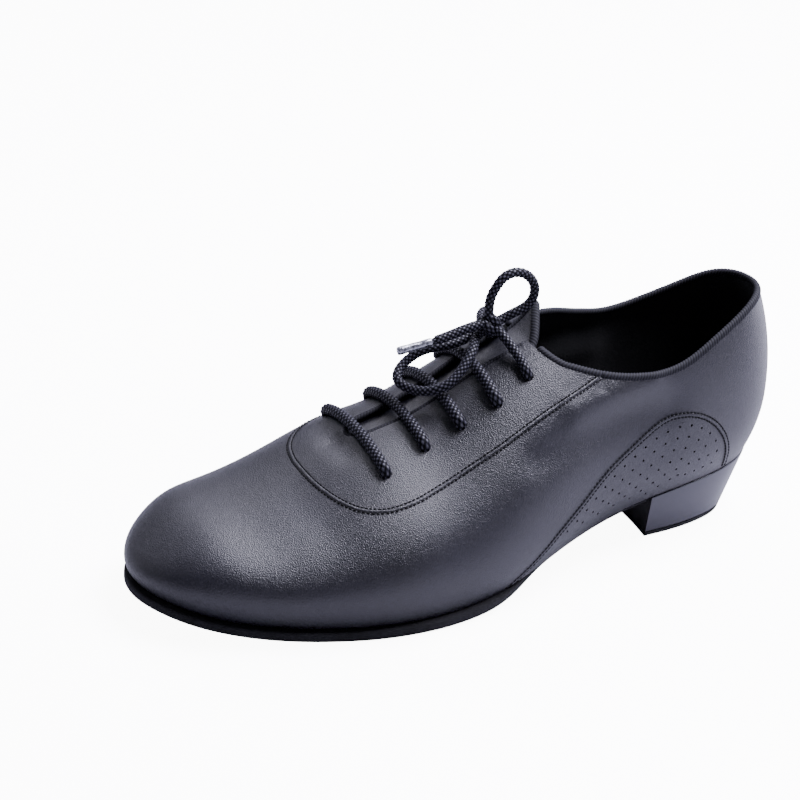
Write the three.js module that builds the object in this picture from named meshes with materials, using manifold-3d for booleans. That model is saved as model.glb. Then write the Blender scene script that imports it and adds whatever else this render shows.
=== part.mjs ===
// A man's ballroom dance shoe for the left foot, standing empty on its sole.
// Millimetres. +X runs towards the toe, +Y towards the wearer's left (the outer side), +Z up.
// The floor is z = 0, and the middle of the shoe's outline lies over the origin.
import * as THREE from 'three';
import Module from 'manifold-3d';

const wasm = await Module();
wasm.setup();

// Driving sizes of the last
const LENGTH = 280;
const BALL_WIDTH = 100;
const HEEL_WIDTH = 62.5;
const BACK_HEIGHT = 72;
const INSTEP_HEIGHT = 72;
const TOE_HEIGHT = 28.5;
const HEEL_HEIGHT = 26.5;
const TOE_SPRING = 7.7;
const BACK_LEAN = 10;

// Walls, layers and clearances
const CLEARANCE = 0.3;
const UPPER_WALL = 1.8;
const SOLE_THICKNESS = 4;
const SOLE_MARGIN = 2.6;
const WAIST_THICKNESS = 3;
const WAIST_INSET = 2;
const INSOLE_THICKNESS = 2.5;

// Throat, lacing and edges
const THROAT_BACK = 0.425;
const THROAT_FRONT = 0.68;
const THROAT_HALF_GAP = 9;
const THROAT_FRONT_SHARE = 0.75;
const COLLAR_BINDING_DIAMETER = 3;
const FACING_BINDING_DIAMETER = 2.4;
const EYELET_DIAMETER = 5.4;
const EYELET_OFFSET = 22.2;
const EYELET_COLUMNS = ['share', 'near', 'far'];
// Each pair's share of the length, and its distances from the ridge as shares of the offset.
const EYELETS = [
  [0.667, 1.3, 1.02],
  [0.603, 1.12, 1.02],
  [0.55, 1.1, 1],
  [0.498, 1.1, 0.99],
  [0.448, 0.95, 0.98],
];
const EYELET_COUNT = EYELETS.length;
const LACE_DIAMETER = 4;

// Tongue
const TONGUE_THICKNESS = 2;
const TONGUE_HALF_WIDTH = 18;
const TONGUE_BACK = 0.4;
const TONGUE_FRONT = 0.7;
const TONGUE_FLARE = 9;
const TONGUE_SLANT = 0.018;
const TONGUE_TOP_WIDTH = 0.65;
const TONGUE_CORNERS = { back: 0.12, front: 0.3, fade: 12 };

// Heel
const LIFT_THICKNESS = 2;
const HEEL_BREAST = 0.235;
const HEEL_MARGIN = 0.4;
const HEEL_TAPER = 3;
const HEEL_RAKE = 7;
const BREAST_RAKE = -1;
const BREAST_HOLLOW = 2;
const BREAST_FADE = 8;

// Sections of the last from heel to toe. near, far, ridge and tuck are shares of the local width,
// widest and top are shares of the local height, rise is a share of the heel's rise and spring one of
// the toe spring. square is the roundness of the section: 2 is an ellipse, and more is boxier.
const SECTION_COLUMNS = [
  'share', 'near', 'far', 'ridge', 'widest', 'top', 'rise', 'spring', 'tuck', 'square',
];
const SECTIONS = [
  [0, 0, 0, 0, 0.354, 1.243, 1, 0, 0.096, 2.1],
  [0.02, 0.232, 0.232, 0, 0.344, 1.247, 0.986, 0, 0.088, 2.1],
  [0.06, 0.37, 0.355, 0, 0.326, 1.25, 0.955, 0, 0.072, 2.1],
  [0.12, 0.455, 0.435, 0, 0.292, 1.24, 0.887, 0, 0.064, 2.1],
  [0.2, 0.504, 0.496, 0, 0.262, 1.23, 0.784, 0, 0.07, 2.1],
  [0.3, 0.526, 0.475, -0.015, 0.256, 1.21, 0.559, 0, 0.095, 2.15],
  [0.4, 0.523, 0.4, -0.025, 0.258, 1.143, 0.311, 0, 0.08, 2.15],
  [0.5, 0.526, 0.4, -0.042, 0.242, 1, 0.149, 0, 0.04, 2.1],
  [0.6, 0.54, 0.43, -0.06, 0.224, 0.821, 0.015, 0, 0.027, 2.05],
  [0.68, 0.54, 0.462, -0.07, 0.229, 0.781, -0.006, -0.012, 0.03, 2.05],
  [0.76, 0.495, 0.455, -0.08, 0.279, 0.872, 0, 0.025, 0.03, 2.1],
  [0.84, 0.425, 0.43, -0.08, 0.364, 1.045, 0, 0.2, 0.03, 2.2],
  [0.91, 0.33, 0.365, -0.07, 0.351, 0.985, 0, 0.47, 0.03, 2.3],
  [0.96, 0.22, 0.275, -0.055, 0.274, 0.668, 0, 0.766, 0.03, 2.3],
  [0.985, 0.12, 0.183, -0.045, 0.235, 0.462, 0, 0.91, 0.03, 2.3],
  [1, -0.03, 0.03, -0.03, 0.21, 0.21, 0, 1, 0.03, 2.3],
];

// Height of the collar's edge, as a share of the way from the widest level to the top of the last.
const TOPLINE_COLUMNS = ['share', 'near', 'far'];
const TOPLINE = [
  [0, 0.685, 0.685],
  [0.03, 0.68, 0.68],
  [0.08, 0.65, 0.648],
  [0.15, 0.585, 0.59],
  [0.22, 0.525, 0.57],
  [0.28, 0.575, 0.65],
  [0.33, 0.665, 0.765],
  [0.39, 0.825, 0.87],
];

const MERGE = 1e-4;
const HALF_TURN = Math.PI;
const RIDGE_ANGLE = Math.PI / 2;
const SOLE_TOP = SOLE_THICKNESS + CLEARANCE;
const LAST_TOPLINE = TOPLINE[TOPLINE.length - 1][0];
const LEAN_FADE = 0.22;
const COLUMNS = 38;
const STATION_SPACE = 0.35;
const THROAT_STATIONS = [0.1, 0.35, 0.8];
const CORNER_STATIONS = [-0.6, 0, 0.35, 0.7];
const LOWER_ROWS = 4;
const DOME_ROWS = 8;
const TUBE_SIDES = 8;
const RIDGE_MARGIN = 0.01;
const TAPE_REACH = 0.008;
const COLLAR_RUN = { stops: 24, crowd: 1.4, steps: 60 };
const FACING_RUN = { stops: 14, crowd: 0.8, steps: 38 };

const clamp = (value, low, high) => Math.min(Math.max(value, low), high);
const mix = (a, b, t) => a + (b - a) * t;
const point = (x, y, z) => new THREE.Vector3(x, y, z);

// 0 before one share, 1 after the other, and a soft step between them that bends without a break.
function step(from, to, share) {
  const t = clamp((share - from) / (to - from), 0, 1);
  return t ** 3 * (10 - 15 * t + 6 * t * t);
}

// A share of the length as an angle: 0 at the heel, half a turn at the toe. Columns are smooth in
// this angle, so that the last closes round at both ends.
const angleOf = (share) => Math.acos(1 - 2 * clamp(share, 0, 1));

// A smooth curve through the knots: a natural cubic spline.
function curveThrough(knots, values) {
  const last = knots.length - 1;
  const bend = new Array(last + 1).fill(0);
  const ratio = new Array(last + 1).fill(0);
  for (let i = 1; i < last; i += 1) {
    const before = knots[i] - knots[i - 1];
    const after = knots[i + 1] - knots[i];
    const pivot = 2 * (before + after) - before * ratio[i - 1];
    const turn = (values[i + 1] - values[i]) / after - (values[i] - values[i - 1]) / before;
    ratio[i] = after / pivot;
    bend[i] = (6 * turn - before * bend[i - 1]) / pivot;
  }
  for (let i = last - 1; i > 0; i -= 1) bend[i] -= ratio[i] * bend[i + 1];
  return (x) => {
    let i = 0;
    while (i < last - 1 && x > knots[i + 1]) i += 1;
    const width = knots[i + 1] - knots[i];
    const d = x - knots[i];
    const slope = (values[i + 1] - values[i]) / width - (width * (2 * bend[i] + bend[i + 1])) / 6;
    return values[i] + d * slope + (d * d * bend[i]) / 2 + (d ** 3 * (bend[i + 1] - bend[i])) / (6 * width);
  };
}

// Every named column of a table as a function of the share of the length, its first column.
function columns(names, table) {
  const knots = table.map((row) => angleOf(row[0]));
  const curves = names.map((_, i) => curveThrough(knots, table.map((row) => row[i])));
  return (share) => Object.fromEntries(names.map((name, i) => [name, curves[i](angleOf(share))]));
}

const sectionShares = columns(SECTION_COLUMNS, SECTIONS);
const toplineShares = columns(TOPLINE_COLUMNS, TOPLINE);

// The real sizes of the section at a share of the length.
function section(share) {
  const row = sectionShares(share);
  const width = mix(HEEL_WIDTH, BALL_WIDTH, step(0.2, 0.6, share));
  const backHeight = mix(BACK_HEIGHT, INSTEP_HEIGHT, step(0.2, 0.45, share));
  const height = mix(backHeight, TOE_HEIGHT, step(0.6, 0.9, share));
  const rise = (HEEL_HEIGHT - SOLE_TOP) * Math.max(row.rise, 0);
  const feather = SOLE_TOP + rise + TOE_SPRING * Math.max(row.spring, 0);
  return {
    middle: ((row.near - row.far) / 2) * width,
    half: ((row.near + row.far) / 2) * width,
    ridge: row.ridge * width,
    widest: feather + row.widest * height,
    top: feather + row.top * height,
    feather,
    tuck: row.tuck * width,
    square: row.square,
  };
}

// The back of the last leans forward above its widest level.
function lean(share, height, widest) {
  const fade = clamp(1 - share / LEAN_FADE, 0, 1) ** 2;
  const up = Math.max(height - widest, 0) / (HEEL_HEIGHT + BACK_HEIGHT - widest);
  return BACK_LEAN * fade * up * up;
}

// A point of the last above its widest level. side is 1 on the near side and -1 on the far side,
// and the angle runs from 0 at the widest level to a quarter turn at the ridge.
function dome(share, side, angle) {
  const s = section(share);
  const across = Math.max(Math.cos(angle), 0) ** (2 / s.square);
  const up = Math.max(Math.sin(angle), 0) ** (2 / s.square);
  const y = s.middle + side * s.half * across + (s.ridge - s.middle) * up * up;
  const z = s.widest + (s.top - s.widest) * up;
  return point(LENGTH * share + lean(share, z, s.widest), y, z);
}

// The direction out of the last's outline, seen from above.
function outward(share, side) {
  const angle = angleOf(share);
  const nudge = 1e-4;
  const shareAt = (a) => (1 - Math.cos(clamp(a, 0, HALF_TURN))) / 2;
  const before = dome(shareAt(angle - nudge), side, 0);
  const after = dome(shareAt(angle + nudge), side, 0);
  return point(side * (before.y - after.y), side * (after.x - before.x), 0).normalize();
}

// A point below the widest level: drop is 0 there and 1 at the feather, where the last meets the sole.
function lowerWall(share, side, drop) {
  const s = section(share);
  const p = dome(share, side, 0);
  p.addScaledVector(outward(share, side), -s.tuck * drop * drop);
  p.z = mix(s.widest, s.feather, drop);
  return p;
}

// Half the width of the throat: round at its front, a little wider towards the instep.
function throatHalfWidth(share) {
  const along = (THROAT_FRONT - share) * LENGTH;
  const t = clamp(along / THROAT_HALF_GAP, 0, 1);
  const open = clamp((THROAT_FRONT - share) / (THROAT_FRONT - THROAT_BACK), 0, 1);
  return THROAT_HALF_GAP * Math.sqrt(1 - (1 - t) ** 2) * mix(THROAT_FRONT_SHARE, 1, open);
}

// The angle at which the dome fails a test that holds below it.
function angleWhere(share, side, holds) {
  let low = 0;
  let high = RIDGE_ANGLE;
  for (let i = 0; i < 40; i += 1) {
    const middle = (low + high) / 2;
    if (holds(dome(share, side, middle))) low = middle;
    else high = middle;
  }
  return low;
}

// The angle at a distance from the ridge, and of the upper's own edge at the collar and the throat.
function angleBeside(share, side, distance) {
  const { ridge } = section(share);
  return angleWhere(share, side, (p) => side * (p.y - ridge) > distance);
}

function edgeAngle(share, side) {
  if (share >= THROAT_FRONT) return RIDGE_ANGLE;
  if (share >= THROAT_BACK) return angleBeside(share, side, throatHalfWidth(share));
  const s = section(share);
  const row = toplineShares(Math.min(share, LAST_TOPLINE));
  const corner = dome(THROAT_BACK, side, angleBeside(THROAT_BACK, side, throatHalfWidth(THROAT_BACK)));
  const level = s.widest + (s.top - s.widest) * (side > 0 ? row.near : row.far);
  const blend = clamp((share - LAST_TOPLINE) / (THROAT_BACK - LAST_TOPLINE), 0, 1);
  return angleWhere(share, side, (p) => p.z < mix(level, corner.z, blend));
}

// Points and triangles of a surface. Points that fall together become one.
class Faces {
  constructor() {
    this.points = [];
    this.triangles = [];
    this.known = new Map();
  }

  point(p) {
    const key = [p.x, p.y, p.z].map((v) => Math.round(v / MERGE)).join();
    if (!this.known.has(key)) {
      this.known.set(key, this.points.length);
      this.points.push(p.clone());
    }
    return this.known.get(key);
  }

  triangle(a, b, c) {
    if (a !== b && b !== c && c !== a) this.triangles.push([a, b, c]);
  }

  quad(a, b, c, d) {
    this.triangle(a, b, c);
    this.triangle(a, c, d);
  }

  volume() {
    const sum = (total, [a, b, c]) => {
      const [p, q, r] = [this.points[a], this.points[b], this.points[c]];
      return total + p.dot(q.clone().cross(r)) / 6;
    };
    return this.triangles.reduce(sum, 0);
  }

  // The same closed surface with its faces pointing out.
  outwards() {
    if (this.volume() < 0) this.triangles = this.triangles.map(([a, b, c]) => [a, c, b]);
    return this;
  }

  geometry() {
    const geometry = new THREE.BufferGeometry();
    geometry.setFromPoints(this.points);
    geometry.setIndex(this.triangles.flat());
    geometry.computeVertexNormals();
    return geometry;
  }
}

// A closed solid from a box of nu by nv by nw cells whose points place(u, v, w) puts in space.
function mappedBox(nu, nv, nw, place) {
  const faces = new Faces();
  const at = (i, j, k) => faces.point(place(i / nu, j / nv, k / nw));
  for (const k of [0, nw]) {
    for (let i = 0; i < nu; i += 1) {
      for (let j = 0; j < nv; j += 1) {
        const ring = [at(i, j, k), at(i + 1, j, k), at(i + 1, j + 1, k), at(i, j + 1, k)];
        faces.quad(...(k ? ring : ring.reverse()));
      }
    }
  }
  for (const i of [0, nu]) {
    for (let j = 0; j < nv; j += 1) {
      for (let k = 0; k < nw; k += 1) {
        const ring = [at(i, j, k), at(i, j + 1, k), at(i, j + 1, k + 1), at(i, j, k + 1)];
        faces.quad(...(i ? ring : ring.reverse()));
      }
    }
  }
  for (const j of [0, nv]) {
    for (let i = 0; i < nu; i += 1) {
      for (let k = 0; k < nw; k += 1) {
        const ring = [at(i, j, k), at(i, j, k + 1), at(i + 1, j, k + 1), at(i + 1, j, k)];
        faces.quad(...(j ? ring : ring.reverse()));
      }
    }
  }
  return faces.outwards();
}

// A closed wall of one thickness from an open surface: the surface, its copy further in, and a rim.
function thicken(sheet, thickness) {
  const normals = sheet.points.map(() => point(0, 0, 0));
  const sides = new Map();
  for (const [a, b, c] of sheet.triangles) {
    const [p, q, r] = [sheet.points[a], sheet.points[b], sheet.points[c]];
    const normal = q.clone().sub(p).cross(r.clone().sub(p));
    for (const i of [a, b, c]) normals[i].add(normal);
    for (const [from, to] of [[a, b], [b, c], [c, a]]) sides.set(`${from},${to}`, [from, to]);
  }
  const wall = new Faces();
  wall.points = sheet.points.map((p) => p.clone());
  const inner = sheet.points.map((p, i) => {
    wall.points.push(p.clone().addScaledVector(normals[i].normalize(), -thickness));
    return wall.points.length - 1;
  });
  for (const [a, b, c] of sheet.triangles) {
    wall.triangle(a, b, c);
    wall.triangle(inner[a], inner[c], inner[b]);
  }
  for (const [from, to] of sides.values()) {
    if (!sides.has(`${to},${from}`)) wall.quad(to, from, inner[from], inner[to]);
  }
  return wall;
}

// A closed tube of one diameter along points, with a number of sides and steps.
function tube(points, diameter, sides, steps) {
  const corners = Array.from({ length: sides }, (_, i) => {
    const turn = (2 * Math.PI * i) / sides;
    return new THREE.Vector2(Math.cos(turn), Math.sin(turn)).multiplyScalar(diameter / 2);
  });
  const path = new THREE.CatmullRomCurve3(points, false, 'centripetal');
  const options = { steps, bevelEnabled: false, extrudePath: path };
  return joined(new THREE.ExtrudeGeometry(new THREE.Shape(corners), options));
}

// The same solid with only its places kept and shared corners made one.
function joined(geometry) {
  const faces = new Faces();
  const places = geometry.getAttribute('position');
  const corner = (i) => faces.point(new THREE.Vector3().fromBufferAttribute(places, i));
  const order = geometry.index ? [...geometry.index.array] : [...Array(places.count).keys()];
  for (let i = 0; i < order.length; i += 3) {
    faces.triangle(corner(order[i]), corner(order[i + 1]), corner(order[i + 2]));
  }
  return faces.outwards();
}

function toManifold(faces) {
  const vertProperties = new Float32Array(faces.points.flatMap((p) => [p.x, p.y, p.z]));
  const triVerts = new Uint32Array(faces.triangles.flat());
  return new wasm.Manifold(new wasm.Mesh({ numProp: 3, vertProperties, triVerts }));
}

function fromManifold(solid) {
  const { vertProperties, triVerts, numProp } = solid.getMesh();
  const faces = new Faces();
  for (let i = 0; i < vertProperties.length; i += numProp) {
    faces.points.push(point(vertProperties[i], vertProperties[i + 1], vertProperties[i + 2]));
  }
  for (let i = 0; i < triVerts.length; i += 3) faces.triangle(triVerts[i], triVerts[i + 1], triVerts[i + 2]);
  return faces;
}

// Where the columns of the upper stand: close together where its outline turns, at the throat's
// round end and at the corners where the collar meets the throat.
function stations() {
  const list = Array.from({ length: COLUMNS + 1 }, (_, i) => (1 - Math.cos((HALF_TURN * i) / COLUMNS)) / 2);
  const fixed = [THROAT_BACK, THROAT_FRONT];
  for (const part of THROAT_STATIONS) fixed.push(THROAT_FRONT - (part * THROAT_HALF_GAP) / LENGTH);
  for (const part of CORNER_STATIONS) fixed.push(mix(LAST_TOPLINE, THROAT_BACK, part));
  const apart = STATION_SPACE / COLUMNS;
  const kept = list.filter((share) => fixed.every((f) => Math.abs(f - share) > apart));
  return [...kept, ...fixed].sort((a, b) => a - b);
}

// One column of the upper's outside, from the feather up to its edge or the ridge.
function upperColumn(share, side) {
  const column = [];
  for (let i = LOWER_ROWS; i > 0; i -= 1) column.push(lowerWall(share, side, i / LOWER_ROWS));
  const edge = edgeAngle(share, side);
  for (let i = 0; i <= DOME_ROWS; i += 1) column.push(dome(share, side, (edge * i) / DOME_ROWS));
  return column;
}

// The direction out of the dome.
function domeNormal(share, side, angle) {
  const d = 1e-3;
  const along = dome(share + d, side, angle).sub(dome(share - d, side, angle));
  const up = dome(share, side, angle + d).sub(dome(share, side, angle - d));
  return up.cross(along).multiplyScalar(side).normalize();
}

// Eyelets stand in pairs beside the throat, from the toe end to the instep.
const eyeletShare = (pair) => EYELETS[pair][EYELET_COLUMNS.indexOf('share')];
const eyeletOffset = (pair, side) => (
  EYELET_OFFSET * EYELETS[pair][EYELET_COLUMNS.indexOf(side > 0 ? 'near' : 'far')]
);

function eyelets() {
  const list = [];
  for (let pair = 0; pair < EYELET_COUNT; pair += 1) {
    const share = eyeletShare(pair);
    for (const side of [1, -1]) {
      const angle = angleBeside(share, side, eyeletOffset(pair, side));
      list.push({ middle: dome(share, side, angle), normal: domeNormal(share, side, angle) });
    }
  }
  return list;
}

function makeUpper() {
  const sheet = new Faces();
  const shares = stations();
  for (const side of [1, -1]) {
    const grid = shares.map((share) => upperColumn(share, side).map((p) => sheet.point(p)));
    for (let i = 0; i + 1 < grid.length; i += 1) {
      for (let j = 0; j + 1 < grid[i].length; j += 1) {
        const ring = [grid[i][j], grid[i][j + 1], grid[i + 1][j + 1], grid[i + 1][j]];
        sheet.quad(...(side > 0 ? ring : ring.reverse()));
      }
    }
  }
  let solid = toManifold(thicken(sheet, UPPER_WALL));
  for (const { middle, normal } of eyelets()) {
    const radius = EYELET_DIAMETER / 2;
    const punch = new THREE.CylinderGeometry(radius, radius, 4 * UPPER_WALL, TUBE_SIDES);
    punch.applyQuaternion(new THREE.Quaternion().setFromUnitVectors(point(0, 1, 0), normal));
    punch.translate(middle.x, middle.y, middle.z);
    solid = solid.subtract(toManifold(joined(punch)));
  }
  return fromManifold(solid);
}

// A point of the feather line moved out by a margin, at a height above the feather.
function feather(share, side, margin, height) {
  const p = lowerWall(share, side, 1);
  p.addScaledVector(outward(share, side), margin);
  p.z += height;
  return p;
}

// A flat piece that follows the feather line between two shares of the length.
function soleLayer(from, to, margin, low, high, cells) {
  const startAngle = angleOf(from);
  const endAngle = angleOf(to);
  return mappedBox(cells, 4, 1, (u, v, w) => {
    const share = (1 - Math.cos(mix(startAngle, endAngle, u))) / 2;
    const near = feather(share, 1, margin(share), 0);
    const far = feather(share, -1, margin(share), 0);
    const p = far.lerp(near, v);
    p.z += mix(low(share), high(share), w);
    return p;
  });
}

function makeOutsole() {
  const margin = (share) => mix(-WAIST_INSET, SOLE_MARGIN, step(0.4, 0.58, share));
  const thickness = (share) => mix(WAIST_THICKNESS, SOLE_THICKNESS, step(0.4, 0.6, share));
  const from = HEEL_BREAST + CLEARANCE / LENGTH;
  return soleLayer(from, 1, margin, (s) => -CLEARANCE - thickness(s), () => -CLEARANCE, 30);
}

function makeInsole() {
  const inset = -(UPPER_WALL + 2 * CLEARANCE);
  return soleLayer(0, 1, () => inset, () => 0, () => INSOLE_THICKNESS, 28);
}

// A layer of the heel between two heights. It tapers and rakes forward towards the floor.
function heelLayer(bottom, top, levels) {
  const breastAngle = angleOf(HEEL_BREAST);
  return mappedBox(10, 6, levels, (u, v, w) => {
    const share = (1 - Math.cos(breastAngle * u)) / 2;
    const seat = section(share).feather - CLEARANCE;
    const z = mix(bottom(seat), top(seat), w);
    const down = (seat - z) / seat;
    const margin = HEEL_MARGIN - HEEL_TAPER * down;
    const p = feather(share, -1, margin, 0).lerp(feather(share, 1, margin, 0), v);
    const back = 1 - share / HEEL_BREAST;
    const hollow = BREAST_HOLLOW * (1 - (2 * v - 1) ** 2) * u ** BREAST_FADE;
    p.x += down * mix(BREAST_RAKE, HEEL_RAKE, back) - hollow;
    p.z = z;
    return p;
  });
}

// The tongue lies under the throat, flares up past the instep and ends under the vamp.
function makeTongue() {
  const depth = UPPER_WALL + 3 * CLEARANCE;
  return mappedBox(14, 8, 1, (u, v, w) => {
    const share = mix(TONGUE_BACK + TONGUE_SLANT * (2 * v - 1), TONGUE_FRONT, u);
    const { back, front, fade } = TONGUE_CORNERS;
    const corner = 1 - back * (1 - u) ** fade - front * u ** fade;
    const narrow = mix(TONGUE_TOP_WIDTH, 1, step(TONGUE_BACK, mix(TONGUE_BACK, TONGUE_FRONT, 0.4), share));
    const distance = (2 * v - 1) * TONGUE_HALF_WIDTH * narrow * corner;
    const side = distance < 0 ? -1 : 1;
    const angle = Math.min(angleBeside(share, side, Math.abs(distance)), RIDGE_ANGLE - RIDGE_MARGIN / 10);
    const p = dome(share, side, angle);
    p.addScaledVector(domeNormal(share, side, angle), -depth - TONGUE_THICKNESS * (1 - w));
    const past = (THROAT_BACK - share) / (THROAT_BACK - TONGUE_BACK + TONGUE_SLANT);
    p.z += TONGUE_FLARE * clamp(past, 0, 1) ** 1.6;
    return p;
  });
}

// The upper's edge at a turn from the heel's back; a turn below 0 is on the other side.
function edgePoint(turn, side) {
  const share = (1 - Math.cos(turn)) / 2;
  const towards = turn < 0 ? -side : side;
  return dome(share, towards, edgeAngle(share, towards));
}

// The middle of a tape that rides on the upper's edge, square to it, between two shares.
function tapePoint(share, side, diameter, from, to) {
  const turn = angleOf(share);
  const low = from > 0 ? angleOf(from) : -1;
  const ahead = edgePoint(Math.min(turn + TAPE_REACH, angleOf(to)), side);
  const along = ahead.sub(edgePoint(Math.max(turn - TAPE_REACH, low), side));
  const angle = edgeAngle(share, side);
  const edge = dome(share, side, angle);
  const normal = domeNormal(share, side, Math.min(angle, RIDGE_ANGLE - RIDGE_MARGIN));
  const rising = along.cross(normal).normalize();
  if (rising.dot(edge.clone().sub(dome(share, side, angle - 2 * RIDGE_MARGIN))) < 0) rising.negate();
  return edge.addScaledVector(rising, diameter / 2 + CLEARANCE).addScaledVector(normal, -UPPER_WALL / 2);
}

// Tape points at shares that run from one place to another. crowd draws them to one end.
function tapeRun(from, to, side, diameter, { stops, crowd }) {
  const shareAt = (i) => mix(from, to, (i / stops) ** crowd);
  return Array.from({ length: stops + 1 }, (_, i) => tapePoint(shareAt(i), side, diameter, from, to));
}

function makeCollarBinding() {
  const end = THROAT_BACK - 0.5 * COLLAR_BINDING_DIAMETER / LENGTH;
  const near = tapeRun(0, end, 1, COLLAR_BINDING_DIAMETER, COLLAR_RUN);
  const far = tapeRun(0, end, -1, COLLAR_BINDING_DIAMETER, COLLAR_RUN);
  return tube([...near.reverse(), ...far.slice(1)], COLLAR_BINDING_DIAMETER, TUBE_SIDES, COLLAR_RUN.steps);
}

function makeFacingBinding() {
  const start = THROAT_BACK + FACING_BINDING_DIAMETER / LENGTH;
  const end = THROAT_FRONT - 0.55 * THROAT_HALF_GAP / LENGTH;
  const near = tapeRun(start, end, 1, FACING_BINDING_DIAMETER, FACING_RUN);
  const far = tapeRun(start, end, -1, FACING_BINDING_DIAMETER, FACING_RUN);
  const bow = dome(THROAT_FRONT, 1, RIDGE_ANGLE - RIDGE_MARGIN / 10);
  bow.addScaledVector(domeNormal(THROAT_FRONT, 1, RIDGE_ANGLE - RIDGE_MARGIN), -UPPER_WALL / 2);
  bow.x -= FACING_BINDING_DIAMETER / 2 + CLEARANCE;
  return tube([...near, bow, ...far.reverse()], FACING_BINDING_DIAMETER, TUBE_SIDES, FACING_RUN.steps);
}

// A place over the lacing: a distance beside the ridge, lifted off the dome.
function overDome(share, side, distance, lift) {
  const angle = Math.min(angleBeside(share, side, distance), RIDGE_ANGLE - RIDGE_MARGIN);
  return dome(share, side, angle).addScaledVector(domeNormal(share, side, angle), lift);
}

// How the lace leaves an eyelet: steps towards the ridge in lace radii, and shares of its lift.
const LACE_RISE = [
  [0, -0.5], [0.1, 0.45], [1, 0.95],
];

// Distances from the ridge at which a bar, and a feed of the knot, rest on the facing.
const BAR_STOPS = [17, 12, 7, 2.5];
const FEED_STOPS = [16];

// Half a bar: out of its eyelet and over the facing to the last of some distances from the ridge.
function halfBar(pair, side, distances) {
  const share = eyeletShare(pair);
  const rest = LACE_DIAMETER / 2 + 1.5 * CLEARANCE;
  const out = LACE_RISE.map(([inward, lift]) => (
    overDome(share, side, eyeletOffset(pair, side) - (inward * LACE_DIAMETER) / 2, lift * rest)
  ));
  return [...out, ...distances.map((distance) => overDome(share, side, distance, rest))];
}

function makeBar(pair) {
  const points = [...halfBar(pair, 1, BAR_STOPS), ...halfBar(pair, -1, BAR_STOPS).reverse()];
  return tube(points, LACE_DIAMETER, TUBE_SIDES, 16);
}

// The bow's knot, loops and ends, from the heel's back and the last's middle line. The top pair of
// eyelets feeds the knot from both sides.
const KNOT = { x: 131, y: -4, z: 93.5, length: 11, width: 10, height: 10 };
const UPPER_LOOP = [
  [132, -3.6, 99.2], [131.5, -4, 105], [129.5, -4, 109.5], [126.3, -4, 113.3], [121, -4, 114.7],
  [115.5, -4, 112.5], [112, -4, 107.5], [112.5, -4, 102], [116, -4.2, 98.8], [120.5, -4.5, 97],
  [124.4, -5, 95.2],
];
const LOWER_LOOP = [
  [136, -4.7, 89], [140, 0.4, 87.6], [145.4, 5, 84.2], [151.8, 7.4, 79.4], [158.6, 6.6, 75.8], [164.2, 0, 73.4],
  [168, -6, 74.4], [166.9, -10, 76.6], [161.6, -12, 80.5], [155, -10, 84.7], [145.9, -8, 86.1],
  [139, -8.4, 87.2], [134.5, -8.8, 88.9],
];
const NEAR_END = [[137.6, -3, 95.2], [143, -2.8, 94.4], [149, -2.8, 93], [155.6, -3, 91.6]];
const NEAR_AGLET = [[156.1, -3, 91.5], [163.5, -3.2, 90.5], [171.4, -3.4, 89.6]];
const FAR_END = [
  [131.2, -9.9, 93.6], [129, -13.8, 94], [124.6, -18.2, 92.6], [119.8, -22.8, 88], [117.2, -27, 81.6],
];
const FAR_AGLET = [[117.1, -27.3, 81.1], [115.9, -30.8, 74.2], [115.6, -33.6, 67]];
const NEAR_FEED = [[129.2, 2.2, 92.6]];
const FAR_FEED = [[125.4, -7.6, 91.2]];

const toPoint = ([x, y, z]) => point(x, y, z);
const cordTube = (points, steps) => tube(points.map(toPoint), LACE_DIAMETER, TUBE_SIDES, steps);

function makeKnot() {
  const knot = new THREE.SphereGeometry(0.5, 12, 8);
  knot.scale(KNOT.length, KNOT.width, KNOT.height);
  knot.translate(KNOT.x, KNOT.y, KNOT.z);
  return joined(knot);
}

// The lace from a top eyelet up to the knot.
function makeFeed(side, last) {
  const points = [...halfBar(EYELET_COUNT - 1, side, FEED_STOPS), ...last.map(toPoint)];
  return tube(points, LACE_DIAMETER, TUBE_SIDES, 12);
}

const MATERIALS = {
  leather: new THREE.MeshStandardMaterial({ color: 0x3a3c48, roughness: 0.42 }),
  lining: new THREE.MeshStandardMaterial({ color: 0x17181c, roughness: 0.9 }),
  suede: new THREE.MeshStandardMaterial({ color: 0x121215, roughness: 1 }),
  heelCover: new THREE.MeshStandardMaterial({ color: 0x2a2b33, roughness: 0.35 }),
  tape: new THREE.MeshStandardMaterial({ color: 0x1d1d21, roughness: 0.85 }),
  lace: new THREE.MeshStandardMaterial({ color: 0x1a1a1e, roughness: 0.8 }),
  aglet: new THREE.MeshStandardMaterial({ color: 0x8d9096, roughness: 0.3, metalness: 0.6 }),
};

const shoe = new THREE.Group();

function addPiece(name, faces, material) {
  const mesh = new THREE.Mesh(faces.geometry(), MATERIALS[material]);
  mesh.name = name;
  shoe.add(mesh);
}

const blockBottom = () => LIFT_THICKNESS + CLEARANCE;
addPiece('upper', makeUpper(), 'leather');
addPiece('outsole', makeOutsole(), 'suede');
addPiece('insole', makeInsole(), 'lining');
addPiece('heel_block', heelLayer(blockBottom, (seat) => seat, 3), 'heelCover');
addPiece('heel_top_lift', heelLayer(() => 0, () => LIFT_THICKNESS, 1), 'suede');
addPiece('tongue', makeTongue(), 'leather');
addPiece('collar_binding', makeCollarBinding(), 'tape');
addPiece('facing_binding', makeFacingBinding(), 'tape');
for (let pair = 0; pair < EYELET_COUNT - 1; pair += 1) {
  addPiece(`lace_bar_${pair + 1}`, makeBar(pair), 'lace');
}

// The outline without the bow is centred over the origin.
const outline = new THREE.Box3().setFromObject(shoe);
const middle = outline.getCenter(new THREE.Vector3());
shoe.position.set(-middle.x, -middle.y, -outline.min.z);

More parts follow.
